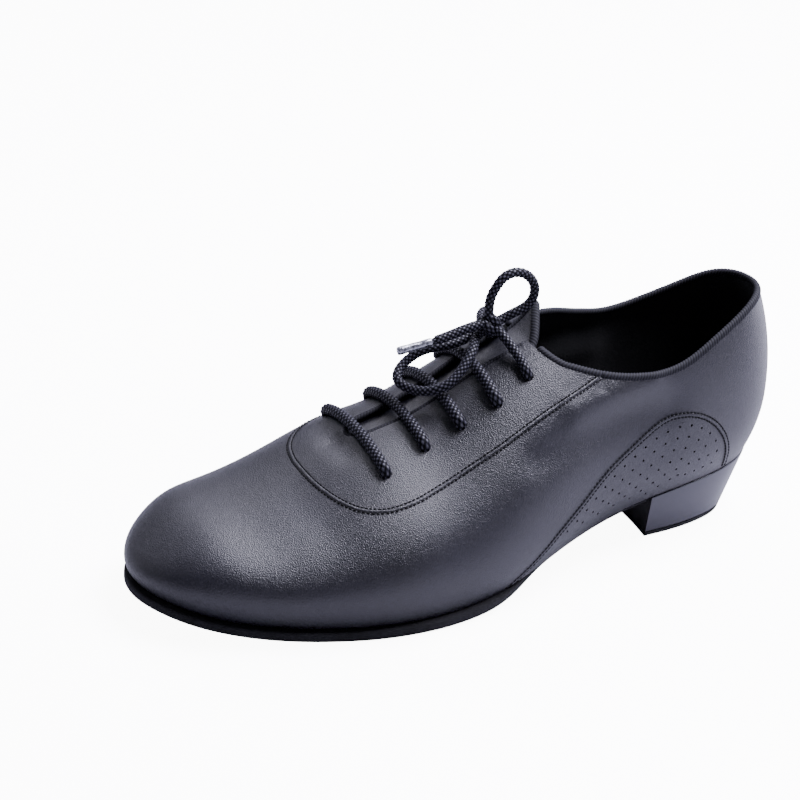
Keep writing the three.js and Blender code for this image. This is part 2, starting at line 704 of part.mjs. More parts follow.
addPiece('lace_feed_near', makeFeed(1, NEAR_FEED), 'lace');
addPiece('lace_feed_far', makeFeed(-1, FAR_FEED), 'lace');
addPiece('lace_knot', makeKnot(), 'lace');
addPiece('lace_loop_upper', cordTube(UPPER_LOOP, 16), 'lace');
addPiece('lace_loop_lower', cordTube(LOWER_LOOP, 20), 'lace');
addPiece('lace_end_near', cordTube(NEAR_END, 6), 'lace');
addPiece('lace_end_far', cordTube(FAR_END, 8), 'lace');
addPiece('aglet_near', cordTube(NEAR_AGLET, 4), 'aglet');
addPiece('aglet_far', cordTube(FAR_AGLET, 4), 'aglet');

export default shoe;
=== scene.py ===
# %% [markdown]
# # A ballroom dance shoe
# This lesson dresses a man's left ballroom shoe. Such a shoe is light and bends easily: thin smooth
# leather over a wooden last, a suede sole that slides and grips on a wooden floor, and a low block
# heel. The solids of the shoe come in as a fixed frame, in metres. We work out every visible piece
# as a surface on a grid of numbers, because a shoe's form is one smooth surface all round.

# %% Load the frame
import math

import bmesh
import bpy
import numpy as np
from mathutils import Matrix, Vector


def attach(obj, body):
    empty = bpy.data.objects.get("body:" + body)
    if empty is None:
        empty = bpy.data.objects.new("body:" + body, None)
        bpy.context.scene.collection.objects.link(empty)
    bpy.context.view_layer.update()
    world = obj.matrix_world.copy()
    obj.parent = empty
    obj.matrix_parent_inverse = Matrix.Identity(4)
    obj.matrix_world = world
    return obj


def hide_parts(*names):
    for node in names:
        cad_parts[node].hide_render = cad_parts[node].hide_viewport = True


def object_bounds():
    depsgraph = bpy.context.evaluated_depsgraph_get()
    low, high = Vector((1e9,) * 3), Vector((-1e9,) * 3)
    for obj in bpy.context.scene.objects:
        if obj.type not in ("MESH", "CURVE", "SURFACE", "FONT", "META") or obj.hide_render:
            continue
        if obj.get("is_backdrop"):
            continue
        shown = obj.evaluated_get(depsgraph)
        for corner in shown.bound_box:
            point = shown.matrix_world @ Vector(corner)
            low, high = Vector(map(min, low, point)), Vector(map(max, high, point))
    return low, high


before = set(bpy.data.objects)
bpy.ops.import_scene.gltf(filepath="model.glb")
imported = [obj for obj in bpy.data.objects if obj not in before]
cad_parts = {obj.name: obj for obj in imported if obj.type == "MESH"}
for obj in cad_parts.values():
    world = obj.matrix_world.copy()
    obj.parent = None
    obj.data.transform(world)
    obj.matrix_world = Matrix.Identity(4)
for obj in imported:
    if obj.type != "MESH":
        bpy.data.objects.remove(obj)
bpy.context.view_layer.update()

# %% [markdown]
# ## The camera
# A product photograph is taken from a little above, with a long lens, so that the shoe isn't
# distorted. The camera stands 29 degrees round from the outer side towards the toe and 27 degrees
# up, and it is rolled by almost 4 degrees. All lengths in this lesson are in millimetres in the
# last's own frame: x from the heel's back, y from the middle of the heel, z from the floor.

# %% Camera
MM = 0.001
TO_ROW = np.array([-140.0, -4.0, 0.0])
CAMERA_TURN, CAMERA_RISE, CAMERA_ROLL = (math.radians(v) for v in (29.31, 27.05, 3.91))
CAMERA_DISTANCE, CAMERA_LENS = 868.4, 99.0
CAMERA_TARGET = np.array([160.2, -18.6, 59.4])


def to_row(points):
    """Millimetres of the last's frame as metres of the row's frame."""
    return (np.asarray(points, float) + TO_ROW) * MM


back = Vector((math.cos(CAMERA_RISE) * math.sin(CAMERA_TURN),
               math.cos(CAMERA_RISE) * math.cos(CAMERA_TURN), math.sin(CAMERA_RISE)))
right = (-back).cross(Vector((0, 0, 1))).normalized()
up = back.cross(right)
turn = Matrix.Rotation(CAMERA_ROLL, 3, back)
camera_data = bpy.data.cameras.new("photo_camera")
camera_data.lens, camera_data.sensor_width = CAMERA_LENS, 36.0
camera_data.clip_start, camera_data.clip_end = 0.02, 30.0
camera = bpy.data.objects.new("photo_camera", camera_data)
bpy.context.scene.collection.objects.link(camera)
axes = Matrix((turn @ right, turn @ up, back)).transposed()
camera.matrix_world = Matrix.Translation(
    Vector(to_row(CAMERA_TARGET)) + back * CAMERA_DISTANCE * MM) @ axes.to_4x4()
bpy.context.scene.camera = camera
print("camera at", tuple(round(v, 3) for v in camera.matrix_world.translation))

# %% [markdown]
# ## Small tools
# Every piece is made the same way: a grid of points, the four-sided faces between them, and one
# mesh from both. Points that fall together are welded, which closes the seams and the poles, and
# the faces of a closed piece are turned outwards.

# %% Tools for meshes


def grid_faces(rows, columns, around=False):
    """Faces between neighbours on a grid; around also joins the last column to the first."""
    i, j = np.meshgrid(np.arange(rows - 1), np.arange(columns if around else columns - 1),
                       indexing="ij")
    k = (j + 1) % columns
    return np.stack([i * columns + j, i * columns + k, (i + 1) * columns + k,
                     (i + 1) * columns + j], -1).reshape(-1, 4)


def show(name, points, faces, materials, slot=None, nodes=(), closed=True, **attributes):
    """A welded, smooth mesh object that rides on the shoe. Points are millimetres in the last's
    frame, slot is not used, and nodes are the solids that it replaces."""
    mesh = bpy.data.meshes.new(name)
    mesh.from_pydata(to_row(points).reshape(-1, 3), [], faces)
    for label, values in attributes.items():
        layer = mesh.attributes.new(label, "FLOAT", "POINT")
        layer.data.foreach_set("value", np.asarray(values, np.float32).ravel())
    work = bmesh.new()
    work.from_mesh(mesh)
    bmesh.ops.remove_doubles(work, verts=work.verts, dist=2e-6)
    if closed:
        bmesh.ops.recalc_face_normals(work, faces=work.faces)
    work.to_mesh(mesh)
    work.free()
    for material in materials:
        mesh.materials.append(material)
    mesh.shade_smooth()
    piece = bpy.data.objects.new(name, mesh)
    bpy.context.scene.collection.objects.link(piece)
    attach(piece, "root")
    if nodes:
        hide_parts(*nodes)
    print(name, "has", len(mesh.polygons), "faces")
    return piece


# %% [markdown]
# A finish is a small net of nodes. One function turns an sRGB hex value to linear light, and one
# adds a node, with its own settings and with values or links for its sockets. Most finishes also
# have a fine unevenness that the eye only sees as a softer shine, so one function gives them that.

# %% Tools for materials


def srgb(code):
    """A colour such as #1c1d24 in linear light: the sRGB curve, undone channel by channel."""
    channels = [int(code[i:i + 2], 16) / 255 for i in (1, 3, 5)]
    return tuple(c / 12.92 if c <= 0.04045 else ((c + 0.055) / 1.055) ** 2.4 for c in channels) + (1.0,)


def add(material, kind, sockets=None, feeds=None, stops=(), **settings):
    """Add a node with its settings and, on a ramp, the place and colour of its stops. Each socket
    gets a value, an output or a node's first output, and feeds is the shader's socket it goes to."""
    tree = material.node_tree
    node = tree.nodes.new("ShaderNode" + kind)
    for name, value in settings.items():
        setattr(node, name, value)
    for number, (place, colour) in enumerate(stops):
        node.color_ramp.elements[number].position = place
        node.color_ramp.elements[number].color = srgb(colour)
    for name, value in (sockets or {}).items():
        if isinstance(value, bpy.types.Node):
            value = value.outputs[0]
        if isinstance(value, bpy.types.NodeSocket):
            tree.links.new(value, node.inputs[name])
        else:
            node.inputs[name].default_value = value
    if feeds:
        tree.links.new(node.outputs[0], tree.nodes["Principled BSDF"].inputs[feeds])
    return node


def finish(name, colour, roughness, **sockets):
    """A material with a Principled shader; each socket is named with _ for a space."""
    material = bpy.data.materials.new(name)
    material.use_nodes = True
    shader = material.node_tree.nodes["Principled BSDF"]
    material.diffuse_color = srgb(colour)
    values = {"Base Color": srgb(colour), "Roughness": roughness}
    values.update({label.replace("_", " "): value for label, value in sockets.items()})
    for label, value in values.items():
        shader.inputs[label].default_value = value
    return material


def uneven(material, scale, detail, strength, depth, **sockets):
    """Noise as bump on a whole finish, with its scale in cells to a metre and its depth in metres.
    Returns the coordinates and the noise."""
    where = add(material, "TexCoord").outputs["Object"]
    noise = add(material, "TexNoise", {"Vector": where, "Scale": scale, "Detail": detail, **sockets})
    add(material, "Bump", {"Height": noise, "Strength": strength, "Distance": depth}, "Normal")
    return where, noise


# %% [markdown]
# ## The last
# The shoe is pulled over a last, the wooden form of a foot. We describe the last by sections from
# heel to toe. Each row holds shares of a few named sizes, so the whole shoe follows them. A smooth
# curve through each column gives the section at any place. The columns are smooth in an angle that
# runs from the heel to the toe, and that closes the form round at both ends.

# %% Sizes and sections of the last
LENGTH, BALL_WIDTH, HEEL_WIDTH = 280.0, 100.0, 62.5
BACK_HEIGHT, INSTEP_HEIGHT, TOE_HEIGHT = 72.0, 72.0, 28.5
HEEL_HEIGHT, TOE_SPRING, BACK_LEAN, LEAN_FADE = 26.5, 7.7, 10.0, 0.22
CLEARANCE, UPPER_WALL, SOLE_THICKNESS = 0.3, 1.8, 4.0
SOLE_TOP = SOLE_THICKNESS + CLEARANCE
THROAT_BACK, THROAT_FRONT, THROAT_HALF_GAP, THROAT_FRONT_SHARE = 0.425, 0.68, 9.0, 0.75

# share of the length, then near, far, ridge, widest, top, rise, spring, tuck and square
SECTIONS = np.array([
    [0, 0, 0, 0, 0.354, 1.243, 1, 0, 0.096, 2.1],
    [0.02, 0.232, 0.232, 0, 0.344, 1.247, 0.986, 0, 0.088, 2.1],
    [0.06, 0.37, 0.355, 0, 0.326, 1.25, 0.955, 0, 0.072, 2.1],
    [0.12, 0.455, 0.435, 0, 0.292, 1.24, 0.887, 0, 0.064, 2.1],
    [0.2, 0.504, 0.496, 0, 0.262, 1.23, 0.784, 0, 0.07, 2.1],
    [0.3, 0.526, 0.475, -0.015, 0.256, 1.21, 0.559, 0, 0.095, 2.15],
    [0.4, 0.523, 0.4, -0.025, 0.258, 1.143, 0.311, 0, 0.08, 2.15],
    [0.5, 0.526, 0.4, -0.042, 0.242, 1, 0.149, 0, 0.04, 2.1],
    [0.6, 0.54, 0.43, -0.06, 0.224, 0.821, 0.015, 0, 0.027, 2.05],
    [0.68, 0.54, 0.462, -0.07, 0.229, 0.781, -0.006, -0.012, 0.03, 2.05],
    [0.76, 0.495, 0.455, -0.08, 0.279, 0.872, 0, 0.025, 0.03, 2.1],
    [0.84, 0.425, 0.43, -0.08, 0.364, 1.045, 0, 0.2, 0.03, 2.2],
    [0.91, 0.33, 0.365, -0.07, 0.351, 0.985, 0, 0.47, 0.03, 2.3],
    [0.96, 0.22, 0.275, -0.055, 0.274, 0.668, 0, 0.766, 0.03, 2.3],
    [0.985, 0.12, 0.183, -0.045, 0.235, 0.462, 0, 0.91, 0.03, 2.3],
    [1, -0.03, 0.03, -0.03, 0.21, 0.21, 0, 1, 0.03, 2.3],
])
# share of the length, then the collar's height on the near and the far side
TOPLINE = np.array([
    [0, 0.685, 0.685], [0.03, 0.68, 0.68], [0.08, 0.65, 0.648], [0.15, 0.585, 0.59],
    [0.22, 0.525, 0.57], [0.28, 0.575, 0.65], [0.33, 0.665, 0.765], [0.39, 0.825, 0.87],
])


def mix(a, b, t):
    return a + (b - a) * t


def unit(v):
    return v / np.linalg.norm(v, axis=-1, keepdims=True)


def step(low, high, x):
    """0 below low, 1 above high, and 6t^5 - 15t^4 + 10t^3 between them."""
    t = np.clip((x - low) / (high - low), 0, 1)
    return t ** 3 * (10 - 15 * t + 6 * t * t)


def angle_of(share):
    """A share of the length as an angle: the arccosine of 1 minus twice the share."""
    return np.arccos(1 - 2 * np.clip(share, 0, 1))


def share_of(angle):
    return (1 - np.cos(angle)) / 2


def smooth_through(knots, values):
    """Natural cubic spline: its second slopes solve one banded system and are zero at both ends."""
    gap = np.diff(knots)
    system, turn = np.eye(len(knots)), np.zeros(values.shape)
    slope = np.diff(values, axis=0) / gap[:, None]
    for i in range(1, len(knots) - 1):
        system[i, i - 1:i + 2] = gap[i - 1], 2 * (gap[i - 1] + gap[i]), gap[i]
        turn[i] = 6 * (slope[i] - slope[i - 1])
    bend = np.linalg.solve(system, turn)

    def at(x):
        i = np.clip(np.searchsorted(knots, x) - 1, 0, len(gap) - 1)
        h, d = gap[i][..., None], (x - knots[i])[..., None]
        start = slope[i] - h * (2 * bend[i] + bend[i + 1]) / 6
        return values[i] + d * start + d * d * bend[i] / 2 + d ** 3 * (bend[i + 1] - bend[i]) / (6 * h)
    return at


section_row = smooth_through(angle_of(SECTIONS[:, 0]), SECTIONS[:, 1:])
topline_row = smooth_through(angle_of(TOPLINE[:, 0]), TOPLINE[:, 1:])
print("sections:", len(SECTIONS), "columns:", SECTIONS.shape[1])

# %% [markdown]
# A section is a superellipse above the last's widest level and tucks in below it, down to the
# feather, the line where the upper meets the sole. A level says where a point is on its section:
# -1 at the feather, 0 at the widest level and 1 at the ridge over the instep.

# %% The last as a surface


def section(share):
    """Middle, half width, ridge, widest level, top, feather, tuck and squareness, in millimetres."""
    near, far, ridge, widest, top, rise, spring, tuck, square = np.moveaxis(
        section_row(angle_of(share)), -1, 0)
    width = mix(HEEL_WIDTH, BALL_WIDTH, step(0.2, 0.6, share))
    height = mix(BACK_HEIGHT, INSTEP_HEIGHT, step(0.2, 0.45, share))
    height = mix(height, TOE_HEIGHT, step(0.6, 0.9, share))
    lifted = (HEEL_HEIGHT - SOLE_TOP) * np.maximum(rise, 0) + TOE_SPRING * np.maximum(spring, 0)
    feather = SOLE_TOP + lifted
    return ((near - far) / 2 * width, (near + far) / 2 * width, ridge * width,
            feather + widest * height, feather + top * height, feather, tuck * width, square)


def dome(share, side, angle):
    """Above the widest level: half width times the cosine and height times the sine, each to the
    power of two over the squareness, with the back leaning forward as the square of the height."""
    share, side, angle = np.broadcast_arrays(share, side, angle)
    middle, half, ridge, widest, top, _, _, square = section(share)
    across = np.maximum(np.cos(angle), 0) ** (2 / square)
    up = np.maximum(np.sin(angle), 0) ** (2 / square)
    y = middle + side * half * across + (ridge - middle) * up * up
    z = widest + (top - widest) * up
    fade = np.clip(1 - share / LEAN_FADE, 0, 1) ** 2
    lean = BACK_LEAN * fade * (np.maximum(z - widest, 0) / (HEEL_HEIGHT + BACK_HEIGHT - widest)) ** 2
    return np.stack([LENGTH * share + lean, y, z], -1)


def plan_normal(share, side):
    """The way out of the outline seen from above: the outline's direction turned by a quarter."""
    angle = angle_of(share)
    behind = dome(share_of(np.clip(angle - 1e-4, 0, np.pi)), side, 0 * angle)
    ahead = dome(share_of(np.clip(angle + 1e-4, 0, np.pi)), side, 0 * angle)
    quarter = [side * (behind - ahead)[..., 1], side * (ahead - behind)[..., 0], 0 * angle]
    return unit(np.stack(quarter, -1))


def last_at(share, side, level):
    """A point of the last; below the widest level the outline is drawn in by the drop squared."""
    share, side, level = np.broadcast_arrays(*(np.asarray(v, float) for v in (share, side, level)))
    _, _, _, widest, _, feather, tuck, _ = section(share)
    drop = np.clip(-level, 0, 1)
    low = dome(share, side, 0 * share) - (tuck * drop * drop)[..., None] * plan_normal(share, side)
    low[..., 2] = mix(widest, feather, drop)
    high = dome(share, side, np.clip(level, 0, 1) * np.pi / 2)
    return np.where((level >= 0)[..., None], high, low)


def normal_at(share, side, level):
    """The way out of the surface: the cross product of two short steps on it."""
    share = np.clip(share, 0.002, 0.998)
    along = last_at(share + 1e-3, side, level) - last_at(share - 1e-3, side, level)
    upward = last_at(share, side, level + 1e-3) - last_at(share, side, level - 1e-3)
    return unit(np.cross(upward, along) * np.asarray(side, float)[..., None])


def level_where(share, side, holds):
    """The level at which a test stops holding, by halving the range 30 times."""
    low, high = np.zeros(np.shape(share)), np.ones(np.shape(share))
    for _ in range(30):
        middle = (low + high) / 2
        true = holds(last_at(share, side, middle))
        low, high = np.where(true, middle, low), np.where(true, high, middle)
    return low


def level_beside(share, side, distance):
    """The level that stands a distance beside the ridge."""
    ridge = section(share)[2]
    return level_where(share, side, lambda p: side * (p[..., 1] - ridge) > distance)


def level_at_height(share, height):
    """The level at a height above the floor, from the section's own formula turned round."""
    _, _, _, widest, top, feather, _, square = section(share)
    above = np.clip((height - widest) / (top - widest), 0, 1) ** (square / 2)
    below = -np.clip((widest - height) / (widest - feather), 0, 1)
    return np.where(height > widest, np.arcsin(above) / (np.pi / 2), below)


def edge_level(share, side):
    """The upper's own edge: the collar's height, then the throat's half width, then the ridge."""
    along = np.clip((THROAT_FRONT - share) * LENGTH / THROAT_HALF_GAP, 0, 1)
    opened = np.clip((THROAT_FRONT - share) / (THROAT_FRONT - THROAT_BACK), 0, 1)
    half_gap = THROAT_HALF_GAP * np.sqrt(1 - (1 - along) ** 2) * mix(THROAT_FRONT_SHARE, 1, opened)
    throat = level_beside(share, side, half_gap)
    corner_share = np.full(np.shape(share), THROAT_BACK)
    corner = last_at(corner_share, side, level_beside(corner_share, side, THROAT_HALF_GAP))[..., 2]
    _, _, _, widest, top, _, _, _ = section(share)
    rows = topline_row(angle_of(np.minimum(share, TOPLINE[-1, 0])))
    height = widest + (top - widest) * np.where(side > 0, rows[..., 0], rows[..., 1])
    blend = np.clip((share - TOPLINE[-1, 0]) / (THROAT_BACK - TOPLINE[-1, 0]), 0, 1)
    height = mix(height, corner, blend)
    collar = level_where(share, side, lambda p: p[..., 2] < height)
    return np.where(share >= THROAT_FRONT, 1.0, np.where(share >= THROAT_BACK, throat, collar))


back_top = last_at(np.array(0.0), np.array(1.0), edge_level(np.array(0.0), np.array(1.0)))
print("collar's back at", back_top.round(1), "mm")

# %% [markdown]
# ## The lace
# The lace is a round braided cord, 4 mm thick: sixteen bundles of thread cross over a core. Its
# braid could be a picture on a plain tube, but the plaits catch light on their own, so each tube
# has them as real relief. Two sets of waves wind round the cord in opposite ways, and a plait
# stands where both have a crest. They are drawn coarser than real ones, so that they show.

# %% Lace material
braid_black = finish("braided_polyester_cord", "#101014", 0.42)
relief = add(braid_black, "Attribute", attribute_name="relief").outputs["Fac"]
# The plaits' crests are painted paler, a painted highlight, and the grooves between them are painted
# near black, painted shade; the crests also shine more and the grooves stay dull.
add(braid_black, "ValToRGB", {"Fac": relief}, "Base Color", [(0.15, "#010102"), (0.95, "#4a4a55")])
add(braid_black, "MapRange", {"Value": relief, "From Min": 0.55, "To Min": 0.05, "To Max": 0.9},
    "Specular IOR Level")
uneven(braid_black, 2600.0, 3.0, 0.35, 0.0003)
print("lace: threads about 0.4 mm wide as bump, plaits as relief")

# %% Tubes along a path
LACE_DIAMETER, CORD_STEP, SLIM_SHARE = 4.0, 0.27, 0.66
PLAIT_PITCH, PLAITS_ROUND, PLAIT_DEPTH = 2.1, 6, 0.34


def run_along(points, power=1.0):
    """The summed lengths of the chords up to each point, each taken to a power."""
    return np.concatenate([[0], np.cumsum(np.linalg.norm(np.diff(points, axis=0), axis=1) ** power)])


def between(at, run, rows):
    """Rows of three numbers, read off at new places between those that they belong to."""
    return np.stack([np.interp(at, run, rows[:, k]) for k in range(3)], -1)


def path_through(points, spacing):
    """A smooth curve through points, at even steps: a spline over the roots of the chords' lengths."""
    points = np.asarray(points, float)
    knots = run_along(points, 0.5)
    dense = smooth_through(knots, points)(np.linspace(0, knots[-1], 40 * len(points)))
    run = run_along(dense)
    even = np.linspace(0, run[-1], max(int(run[-1] / spacing), 4) + 1)
    return between(even, run, dense), even


def square_to(path):
    """Two directions square to a path; each ring's own is the last one's, made square again."""
    tangent = unit(np.gradient(path, axis=0))
    sides = [unit(np.cross(tangent[0], [0.3, 0.2, 1.0]))]
    for t in tangent[1:]:
        sides.append(unit(sides[-1] - t * (sides[-1] @ t)))
    return np.array(sides), np.cross(tangent, sides)


def rings(u, v, columns, wide=1.0, high=1.0):
    """Ovals along a path: wide times the cosine along u, plus high times the sine along v."""
    turn = np.linspace(0, 2 * np.pi, columns, endpoint=False)[None, :, None]
    return wide * np.cos(turn) * u[:, None] + high * np.sin(turn) * v[:, None]


def tube(name, centre, ring, material, slot, nodes=(), **attributes):
    """A closed tube: a ring round each point of its centre."""
    faces = grid_faces(len(centre), ring.shape[1], around=True)
    return show(name, centre[:, None] + ring, faces, [material], slot, nodes, **attributes)


def round_ends(run, radius):
    """1 along the tube, and a quarter circle down to 0 within one radius of each end."""
    inside = np.clip(np.minimum(run, run[-1] - run) / radius, 0, 1)
    return np.sqrt(1 - (1 - inside) ** 2)


def braided(name, points, nodes, slim=None, swell=1.0):
    """A cord along points. Plaits are the product of two waves that wind in opposite ways; slim is
    the length at its far end that is pressed to a smaller radius under a tip, and swell widens a
    cord that lies slack."""
    path, run = path_through(points, CORD_STEP)
    turn = PLAITS_ROUND / 2 * np.linspace(0, 2 * np.pi, 28, endpoint=False)
    winding = np.pi * run[:, None] / PLAIT_PITCH
    plait = np.abs(np.cos(turn + winding) * np.cos(turn - winding))
    radius = swell * (LACE_DIAMETER / 2 - PLAIT_DEPTH * (1 - plait ** 0.7))
    if slim:
        radius = radius * mix(1, SLIM_SHARE, step(run[-1] - slim - 1.5, run[-1] - slim, run))[:, None]
    radius = radius * round_ends(run, LACE_DIAMETER / 2)[:, None]
    ring = radius[..., None] * rings(*square_to(path), 28)
    return tube(name, path, ring, braid_black, "lace_cord", nodes, relief=plait), path, run[-1]


print("a plait is", PLAIT_PITCH, "mm long")

# %% [markdown]
# The lace comes up out of the first pair of eyelets as a straight bar and crosses under the
# facings to the next. A bar rises out of its hole, bends over and rests on the leather. The fifth
# pair feeds the bow's knot.

# %% Bars and feeds
# each pair's share of the length, and its distances from the ridge, near and far
EYELETS = np.array([[0.667, 1.3, 1.02], [0.603, 1.12, 1.02], [0.55, 1.1, 1], [0.498, 1.1, 0.99],
                    [0.448, 0.95, 0.98]]) * [1, 22.2, 22.2]
EYELET_DIAMETER, EYELET_DEPTH = 4.6, 3.5
LACE_RISE = [(-0.35, -1.9), (0, -0.5), (0.1, 0.45), (1, 0.95)]
BAR_STOPS = (17.0, 12.0, 7.0, 2.5)
LACE_REST = LACE_DIAMETER / 2 + 0.15
FEEDS = [(1, "near", [[129.2, 2.2, 92.6], [130.4, -2.4, 93.2]]),
         (-1, "far", [[125.4, -7.6, 91.2], [129, -6, 93]])]


def over_ridge(share, side, distance, lift):
    """A point a distance beside the ridge, lifted off the surface along its normal."""
    level = min(float(level_beside(np.array(share), side, distance)), 0.994)
    return last_at(share, side, level) + lift * normal_at(np.array(share), side, level)


def half_bar(pair, side, stops):
    """From inside an eyelet up, over and along the leather to the ridge."""
    share, offset = EYELETS[pair, 0], EYELETS[pair, 1 if side > 0 else 2]
    out = [over_ridge(share, side, offset - inward * LACE_DIAMETER / 2, lift * LACE_REST)
           for inward, lift in LACE_RISE]
    return out + [over_ridge(share, side, stop, LACE_REST) for stop in stops]


for pair in range(4):
    points = half_bar(pair, 1, BAR_STOPS) + half_bar(pair, -1, BAR_STOPS)[::-1]
    braided(f"lace_bar_{pair + 1}_braid", points, [f"lace_bar_{pair + 1}"], swell=1.14)
for side, word, end in FEEDS:
    points = half_bar(4, side, (16.0,)) + [np.array(p) for p in end]
    braided(f"lace_feed_{word}_braid", points, [f"lace_feed_{word}"])

# %% [markdown]
# ## The bow
# The bow is one knot, two loops and two ends with hard tips. One loop stands up, the other lies
# forward over the lacing. Their routes are the ones of the solids, and they run on into the knot.
# The knot is one strand wound tight round the others, as the last turn of a real bow is.

# %% Knot, loops and ends
UPPER_LOOP = [
    [131.6, -4.2, 95.2], [132, -3.6, 99.2], [131.5, -4, 105], [129.5, -4, 109.5], [126.3, -4, 113.3],
    [121, -4, 114.7], [115.5, -4, 112.5], [112, -4, 107.5], [112.5, -4, 102], [116, -4.2, 98.8],
    [120.5, -4.5, 97], [124.4, -5, 95.2], [128.8, -4.6, 94],
]
LOWER_LOOP = [
    [132.5, -4.5, 92.4], [136, -4.7, 89], [140, 0.4, 87.6], [145.4, 5, 84.2], [151.8, 7.4, 79.4],
    [158.6, 6.6, 75.8], [164.2, 0, 73.4], [168, -6, 74.4], [166.9, -10, 76.6], [161.6, -12, 80.5],
    [155, -10, 84.7], [145.9, -8, 86.1], [139, -8.4, 87.2], [134.5, -8.8, 88.9], [131.8, -7, 92],
]
NEAR_END = [
    [133, -3.4, 95.2], [137.6, -3, 95.2], [143, -2.8, 94.4], [149, -2.8, 93], [155.6, -3, 91.6],
    [163.5, -3.2, 90.5], [171.4, -3.4, 89.6],
]
FAR_END = [
    [131, -6.5, 94], [131.2, -9.9, 93.6], [129, -13.8, 94], [124.6, -18.2, 92.6], [119.8, -22.8, 88],
    [117.2, -27, 81.6], [115.9, -30.8, 74.2], [115.6, -33.6, 67],
]
KNOT_AT, KNOT_AXIS = np.array([131.2, -4.4, 94.2]), np.array([-0.62, -0.2, 0.76])
KNOT_RADIUS, KNOT_PITCH, KNOT_TURNS, KNOT_START = 2.9, 3.5, 1.75, 0.6

axis = unit(KNOT_AXIS)
across = unit(np.cross(axis, [0, 1, 0]))
turns = np.linspace(0, KNOT_TURNS, 40)[:, None]
wind = 2 * np.pi * turns + KNOT_START
helix = KNOT_AT + (KNOT_PITCH * (turns - KNOT_TURNS / 2) * axis
                   + KNOT_RADIUS * (np.cos(wind) * np.cross(axis, across) + np.sin(wind) * across))
knot, _, knot_length = braided("lace_knot_braid", helix, ["lace_knot"])
print("knot: a strand of", round(knot_length, 1), "mm")

ROUTES = [("lace_loop_upper", UPPER_LOOP, None, "object"),
          ("lace_loop_lower", LOWER_LOOP, None, "object"),
          ("lace_end_near", NEAR_END, 15.8, "fitting"), ("lace_end_far", FAR_END, 14.5, "fitting")]
cords = {}
for name, points, slim, far_end in ROUTES:
    cords[name] = (*braided(name + "_braid", points, [name], slim), far_end)

# %% [markdown]
# Each end is wrapped in a tip of clear film, heated and pressed round the cord, with a silver foil
# under it. It is slimmer than the cord and keeps it from fraying.

# %% Tips of the lace
foil_tip = finish("clear_film_over_silver_foil", "#8d8f98", 0.24, Metallic=0.55, Coat_Weight=0.7,
                  Coat_Roughness=0.08)
_, creases_and_painted_glints = uneven(foil_tip, 700.0, 2.0, 0.5, 0.0004)
# The foil is creased, and the same noise paints pale and dark patches side by side under the smooth
# film: painted reflections of the creases over the foil's own silver.
add(foil_tip, "ValToRGB", {"Fac": creases_and_painted_glints}, "Base Color", [(0.35, "#4c4d55"), (0.65, "#b9bbc4")])
TIP_RADIUS, TIP_FLAT, CRIMP_DEPTH, CRIMP_PITCH = 1.62, 0.08, 0.05, 5.2


def tip(word, length):
    """A thin tube over the last stretch of an end, with its rim turned in and a slight crimp."""
    path = cords["lace_end_" + word][1]
    path, run = path_through(path[-int(length / CORD_STEP):], 0.35)
    turn = np.linspace(0, 2 * np.pi, 24, endpoint=False)
    crimp = CRIMP_DEPTH * np.cos(2 * np.pi * run / CRIMP_PITCH)[:, None]
    radius = (TIP_RADIUS - TIP_FLAT * np.cos(2 * turn) - crimp) * round_ends(run, 0.5)[:, None]
    return tube(f"aglet_{word}_film", path, radius[..., None] * rings(*square_to(path), 24), foil_tip,
                "aglet_plastic", ["aglet_" + word])


tips = {"lace_end_near": tip("near", 15.3), "lace_end_far": tip("far", 14.2)}
for name, (piece, path, length, far_end) in cords.items():
    along = [knot] if name == "lace_loop_upper" else [tips[name]] if name in tips else []
    print(name, round(length, 1), "mm")

# %% [markdown]
# ## The upper
# The upper is smooth calf leather with a lining, 1.8 mm together. Its leather has a very fine grain
# and a semi-gloss finish, so highlights are broad and soft with a little sparkle in them. The
# colour is black with a cool blue-grey cast. Fine cells and fine noise make the grain; the real
# pores are about 0.3 mm apart, and they are drawn at 0.45 mm so that they show at this distance.

# %% Leather, lining and suede
grained_leather = finish("semi_gloss_calf_leather", "#16161e", 0.39, Coat_Weight=0.1,
                         Coat_Roughness=0.35, Specular_IOR_Level=0.62)
where = add(grained_leather, "TexCoord").outputs["Object"]
pores = add(grained_leather, "TexVoronoi", {"Vector": where, "Scale": 2300.0})
wrinkles = add(grained_leather, "TexNoise",
               {"Vector": where, "Scale": 2200.0, "Detail": 2.0, "Roughness": 0.6})
grain = add(grained_leather, "Math", {0: pores, 1: wrinkles}, operation="ADD")
add(grained_leather, "Bump", {"Height": grain, "Strength": 0.7, "Distance": 0.0002}, "Normal")
# Dye and polish vary a little over a few centimetres, so that no highlight is quite even.
clouds = add(grained_leather, "TexNoise", {"Vector": where, "Scale": 28.0, "Detail": 3.0})
add(grained_leather, "ValToRGB", {"Fac": clouds}, "Base Color", [(0.3, "#121219"), (0.7, "#191922")])
add(grained_leather, "MapRange", {"Value": clouds, "To Min": 0.35, "To Max": 0.42}, "Roughness")

# The lining is dull and swallows light, and so does the thread beside the polished leather. The cut
# edges are near black as well, and where that colour lines the floors of the blind perforations it is
# painted shade for the dark inside of a hole.
black_lining = finish("brushed_textile_lining", "#0c0c10", 0.92, Sheen_Weight=0.15)
uneven(black_lining, 1500.0, 4.0, 0.4, 0.0003)
cut_edge_and_hole_shade = finish("dark_cut_edge_and_painted_hole_shade", "#060609", 0.95)
stitch_thread = finish("matt_polyester_thread", "#040406", 0.8, Specular_IOR_Level=0.25)
print("leather: cells and noise of about 0.45 mm")
